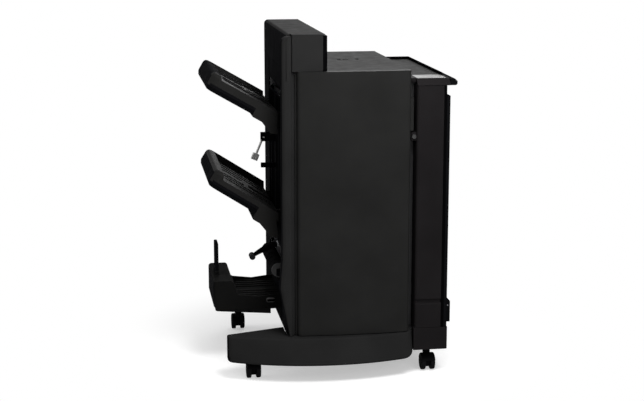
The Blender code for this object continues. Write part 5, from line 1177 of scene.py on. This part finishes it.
# Inside the cabinet
def sleeved_roller(node, centre, radius, span, count, look, shaft=0.003):
    """A steel shaft with its core, and separate sleeves along it, in place of a plain roller."""
    low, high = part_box(node)
    start, end = span
    core = radius * CORE_SHARE
    bar = turned("Y", centre, [
        (low.y, shaft * 0.85), (low.y + 0.0006, shaft), (start, shaft), (start, core - 0.0006),
        (start + 0.0006, core), (end - 0.0006, core), (end, core - 0.0006), (end, shaft),
        (high.y - 0.0006, shaft), (high.y, shaft * 0.85),
    ])
    core_look = look if look == "rubber_dark" else "shaft_steel"
    finish(node + "_core", bar, core_look, 0, node, node)
    pitch = (end - start) / count
    gap = pitch * GAP_SHARE
    sleeves = []
    for index in range(count):
        first = start + index * pitch + (0 if index == 0 else gap)
        last = start + (index + 1) * pitch - (0 if index == count - 1 else gap)
        sleeves.append(turned("Y", centre, [
            (first, core - 0.0005), (first, radius - 0.001), (first + 0.0004, radius - 0.0003),
            (first + 0.0011, radius), (last - 0.0011, radius), (last - 0.0004, radius - 0.0003),
            (last, radius - 0.001), (last, core - 0.0005),
        ]))
    finish(node + "_sleeves", merged(sleeves), look, 0, body=node)


def knob():
    """Green ribbed hand knob on the front end of the upper fold roller's shaft."""
    centre = centre_of("upper_fold_roller")
    wheel = turned("Y", centre, [
        (-0.2332, 0.006), (-0.2334, 0.0175), (-0.2325, 0.02), (-0.2305, 0.0216),
        (-0.228, 0.022), (-0.2215, 0.022), (-0.2195, 0.0208), (-0.219, 0.018),
        (-0.219, 0.0035),
    ], 72)
    grooves = merged([rod("Y", place, 0.0017, -0.24, -0.21, 16)
                      for place in circle(centre, 0.0228, 18)])
    cut(wheel, grooves, rod("Y", centre, 0.013, -0.24, -0.2312, 48))
    join(wheel, plate(rectangle((-0.012, -0.0028), (0.012, 0.0028)), 0.0026, "Y",
                      -0.2334, -0.23, 6, centre))
    finish("knob_wheel", wheel, "knob_green", HAIR_EDGE, body="upper_fold_roller")


def rollers():
    """Roller pairs between the side plates, the jam knob, and the bushes their shafts turn in."""
    bushes = []
    for place, radius, span, count, look in (
            ("exit", 0.0095, EXIT_SPAN, 5, "rubber_dark"),
            ("inlet", 0.01, WIDE_SPAN, 6, "roller_rubber"),
            ("fold", 0.015, WIDE_SPAN, 5, "roller_grey")):
        for node in ("upper_%s_roller" % place, "lower_%s_roller" % place):
            centre = centre_of(node)
            sleeved_roller(node, centre, radius, span, count, look)
            for start, end in ((-0.2119, -0.2085), (0.2665, 0.2699)):
                bore = rod("Y", centre, 0.0033, start - OVERRUN, end + OVERRUN)
                bushes.append(cut(rod("Y", centre, 0.0062, start, end), bore))
    knob()
    finish("bushes", merged(bushes), "latch_steel", HAIR_EDGE)


def stapler():
    """Stapler: rounded body with its mouth and side recesses, the steel anvil and a cartridge."""
    low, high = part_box("stapler")
    mouth = low.z + 0.03
    body = plate(throated(low, high, mouth, low.x + 0.026, 0.012),
                 [0.002, 0.002, 0.014, 0.006, 0.003, 0.002, 0.002, 0.003], "Y", low.y, high.y)
    for y in (low.y, high.y):
        field = rectangle((low.x + 0.032, low.z + 0.01), (high.x - 0.006, high.z - 0.012))
        cut(body, plate(field, 0.004, "Y", y - 0.0012, y + 0.0012, 5))
    finish("stapler_body", body, "unit_black", FINE_EDGE, "stapler", "stapler")
    anvil = plate(rectangle((low.x - 0.0005, low.y + 0.01), (low.x + 0.022, high.y - 0.01)),
                  0.002, "Z", mouth - 0.0004, mouth + 0.0014, 4)
    finish("stapler_anvil", anvil, "latch_steel", HAIR_EDGE, body="stapler")
    case = plate([(low.x + 0.006, high.z - 0.001), (high.x - 0.018, high.z - 0.001),
                  (high.x - 0.022, high.z + 0.012), (low.x + 0.01, high.z + 0.012)],
                 [0, 0, 0.003, 0.003], "Y", low.y + 0.007, high.y - 0.007, 4)
    finish("staple_case", case, "roller_grey", FINE_EDGE, body="stapler")


def stitcher():
    """Saddle stitcher: open-throated bars and two stitching heads above them."""
    low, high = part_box("saddle_stitcher")
    bars = plate(throated(low, high, low.z + 0.044, low.x + 0.07, 0.014),
                 [0.003, 0.003, 0.006, 0.006, 0.002, 0.002, 0.002, 0.002], "Y", low.y, high.y, 4)
    for y in (-0.13, 0.028, 0.186):
        hole = rectangle((low.x + 0.084, low.z + 0.014), (high.x - 0.01, high.z - 0.014))
        cut(bars, plate(hole, 0.006, "Y", y - 0.045, y + 0.045, 5))
    finish("stitcher_frame", bars, "sheet_steel", HAIR_EDGE, "saddle_stitcher")
    for name, y in (("front", -0.042), ("rear", 0.098)):
        head = plate([(0.004, -FIT), (0.064, -FIT), (0.056, 0.03), (0.012, 0.03)],
                     [0, 0, 0.006, 0.006], "Y", y - 0.018, y + 0.018, 5, (low.x, high.z))
        cut(head, rod("Y", (low.x + 0.034, high.z + 0.013), 0.007, y - 0.03, y + 0.03))
        finish("stitch_head_" + name, head, "unit_black", FINE_EDGE)


def drive_motor():
    """Motor can with its flange, three screws, cooling ribs and a connector."""
    low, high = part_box("drive_motor")
    centre = centre_of("drive_motor")
    can = 0.028
    profile = [(low.y, 0.035), (low.y + 0.0005, 0.036), (low.y + 0.0035, 0.036), (low.y + 0.004, can)]
    for index in range(6):
        start = low.y + 0.009 + index * 0.0045
        profile += [(start, can), (start + 0.0004, 0.0268), (start + 0.0014, 0.0268),
                    (start + 0.0018, can)]
    profile += [(high.y - 0.0015, can), (high.y - 0.0004, 0.0272), (high.y, 0.0262), (high.y, 0.007)]
    finish("motor_can", turned("Y", centre, profile, 64), "motor_metal", HAIR_EDGE, "drive_motor")
    reach = 0.0318
    turns = [2 * math.pi * step / 3 + 0.5 for step in range(3)]
    screws("motor_screws", [(centre[0] + reach * math.cos(turn), low.y + 0.004,
                             centre[1] + reach * math.sin(turn)) for turn in turns],
           (0, 1, 0), 0.0026)
    plug = plate(rectangle((-0.009, -0.0345), (0.009, -0.024)), 0.001, "Y", high.y - 0.014,
                 high.y - 0.002, 3, centre)
    finish("motor_connector", plug, "roller_grey", HAIR_EDGE)


def inner_front_cover():
    """Black cover over the front side plate, with an opening for the jam knob and raised fields."""
    low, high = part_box("front_side_plate")
    back = low.y - FIT
    front = back - 0.003
    outline = stepped(-0.1335, low.z + 0.001, high.x - 0.001, high.z - 0.001, DOOR_RIGHT - 0.004, 0.89)
    cover = plate(outline, 0.003, "Y", front, back)
    for corner, end in (
            ((-0.115, 0.165), 0.245), ((0.03, 0.268), 0.372), ((-0.115, 0.395), 0.56),
            ((-0.115, 0.585), 0.7), ((-0.115, 0.725), 0.89)):
        join(cover, pad(corner, (0.205, end), front + FIT, front - 0.0035, 0.014, 0.003))
    cut(cover, rod("Y", centre_of("upper_fold_roller"), 0.03, front - 0.01, back + OVERRUN, 48),
        box((0.229, front - OVERRUN, 0.718), (0.256, back + OVERRUN, 0.75)))
    finish("inner_cover", cover, "unit_black", FINE_EDGE)
    places = [(x, front + 0.0004, z) for x in (-0.124, 0.216)
              for z in (0.15, 0.38, 0.572, 0.712, 0.884)]
    screws("inner_screws", places, (0, -1, 0), 0.003)


def cabinet_inside():
    """Plates, stays, rollers and units behind the door and under the lid."""
    inner_front_cover()
    dress("sheet_steel", HAIR_EDGE, "front_side_plate", "rear_side_plate", "middle_stay", "lower_stay")
    dress("shaft_steel", HAIR_EDGE, "stapler_rail")
    rollers()
    stapler()
    stitcher()
    drive_motor()


# Casters
def caster_fork(place):
    """Fork of a twin-wheel caster: neck with its swivel ring, web, and a hood with round shoulders."""
    low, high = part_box(place + "_caster_fork")
    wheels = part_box(place + "_caster_wheels")
    x = (low.x + high.x) / 2
    axle_y = (wheels[0].y + wheels[1].y) / 2
    way = 1 if place.startswith("rear") else -1
    section = [(-0.0215, 0.0218, 0.024), (-0.0205, 0.0244, 0.0262), (-0.018, 0.0256, 0.0273),
               (0.018, 0.0256, 0.0273), (0.0205, 0.0244, 0.0262), (0.0215, 0.0218, 0.024)]
    loop = [(along, inner) for along, inner, _ in section]
    loop += [(along, outer) for along, _, outer in reversed(section)]
    rings = []
    for step in range(19):
        turn = math.radians(20 + 140 * step / 18)
        rings.append([(x + along, axle_y + radius * math.cos(turn), AXLE_Z + radius * math.sin(turn))
                      for along, radius in loop])
    hood = lofted(rings)
    web = plate([(-0.015, AXLE_Z), (-0.0075, 0.01), (0.0075, 0.01), (0.015, AXLE_Z),
                 (0.0185, 0.043), (-0.0185, 0.043)], 0.003, "X", x - 0.0065, x + 0.0065, 4,
                (axle_y, 0))
    neck = turned("Z", (x, axle_y - way * 0.014), [
        (0.044, 0.01), (0.052, 0.0115), (0.056, 0.0115), (0.0568, 0.01), (0.058, 0.01),
        (0.059, 0.0118), (0.064, 0.0118), (0.065, 0.0105), (high.z, 0.0105),
    ])
    join(hood, web, neck)
    cut(hood, rod("X", (axle_y, AXLE_Z), 0.0045, x - 0.05, x + 0.05))
    finish(place + "_caster_hood", hood, "caster_black", HAIR_EDGE, place + "_caster_fork",
           place + "_caster")


def caster_wheels(place):
    """Twin wheels with rounded treads and recessed hubs, on their axle."""
    low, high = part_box(place + "_caster_wheels")
    centre = ((low.y + high.y) / 2, (low.z + high.z) / 2)
    middle = (low.x + high.x) / 2
    half = (high.x - low.x) / 2
    wheel = [(0.0075, 0.0042), (0.0075, 0.0215), (0.0082, 0.0238), (0.01, 0.025),
             (half - 0.003, 0.025), (half - 0.001, 0.024), (half, 0.0215),
             (half, 0.019), (half - 0.0022, 0.018), (half - 0.0026, 0.01),
             (half - 0.0006, 0.0085), (half - 0.0006, 0.002)]
    finish(place + "_treads", turned("X", centre, mirrored(middle, wheel), 64), "wheel_grey", 0,
           place + "_caster_wheels", place + "_wheels")


bpy.context.scene.view_settings.view_transform = "Standard"
make_world()
make_floor()
make_lamps()
make_camera()
front_door()
hinge_strip()
door_inner_panel()
door_button()
pillar()
tower()
top_cover()
base_covers()
inlet_side()
rear_cover()
power_inlet()
delivery_wall()
output_tray("upper_tray", height=0.8155, slope_degrees=30.1, root_depth=0.08, block_length=0.056,
            block_step=0.0055, dish_depth=0.011, painted_shade_tip=True)
output_tray("lower_tray", height=0.516, slope_degrees=32.5, root_depth=0.098, block_length=0.049,
            block_step=0.019, dish_depth=0.018, painted_shade_tip=False)
stack_flag()
booklet_exit()
booklet_tray()
cabinet_inside()
for corner_name in ("front_left", "front_right", "rear_left", "rear_right"):
    caster_fork(corner_name)
    caster_wheels(corner_name)
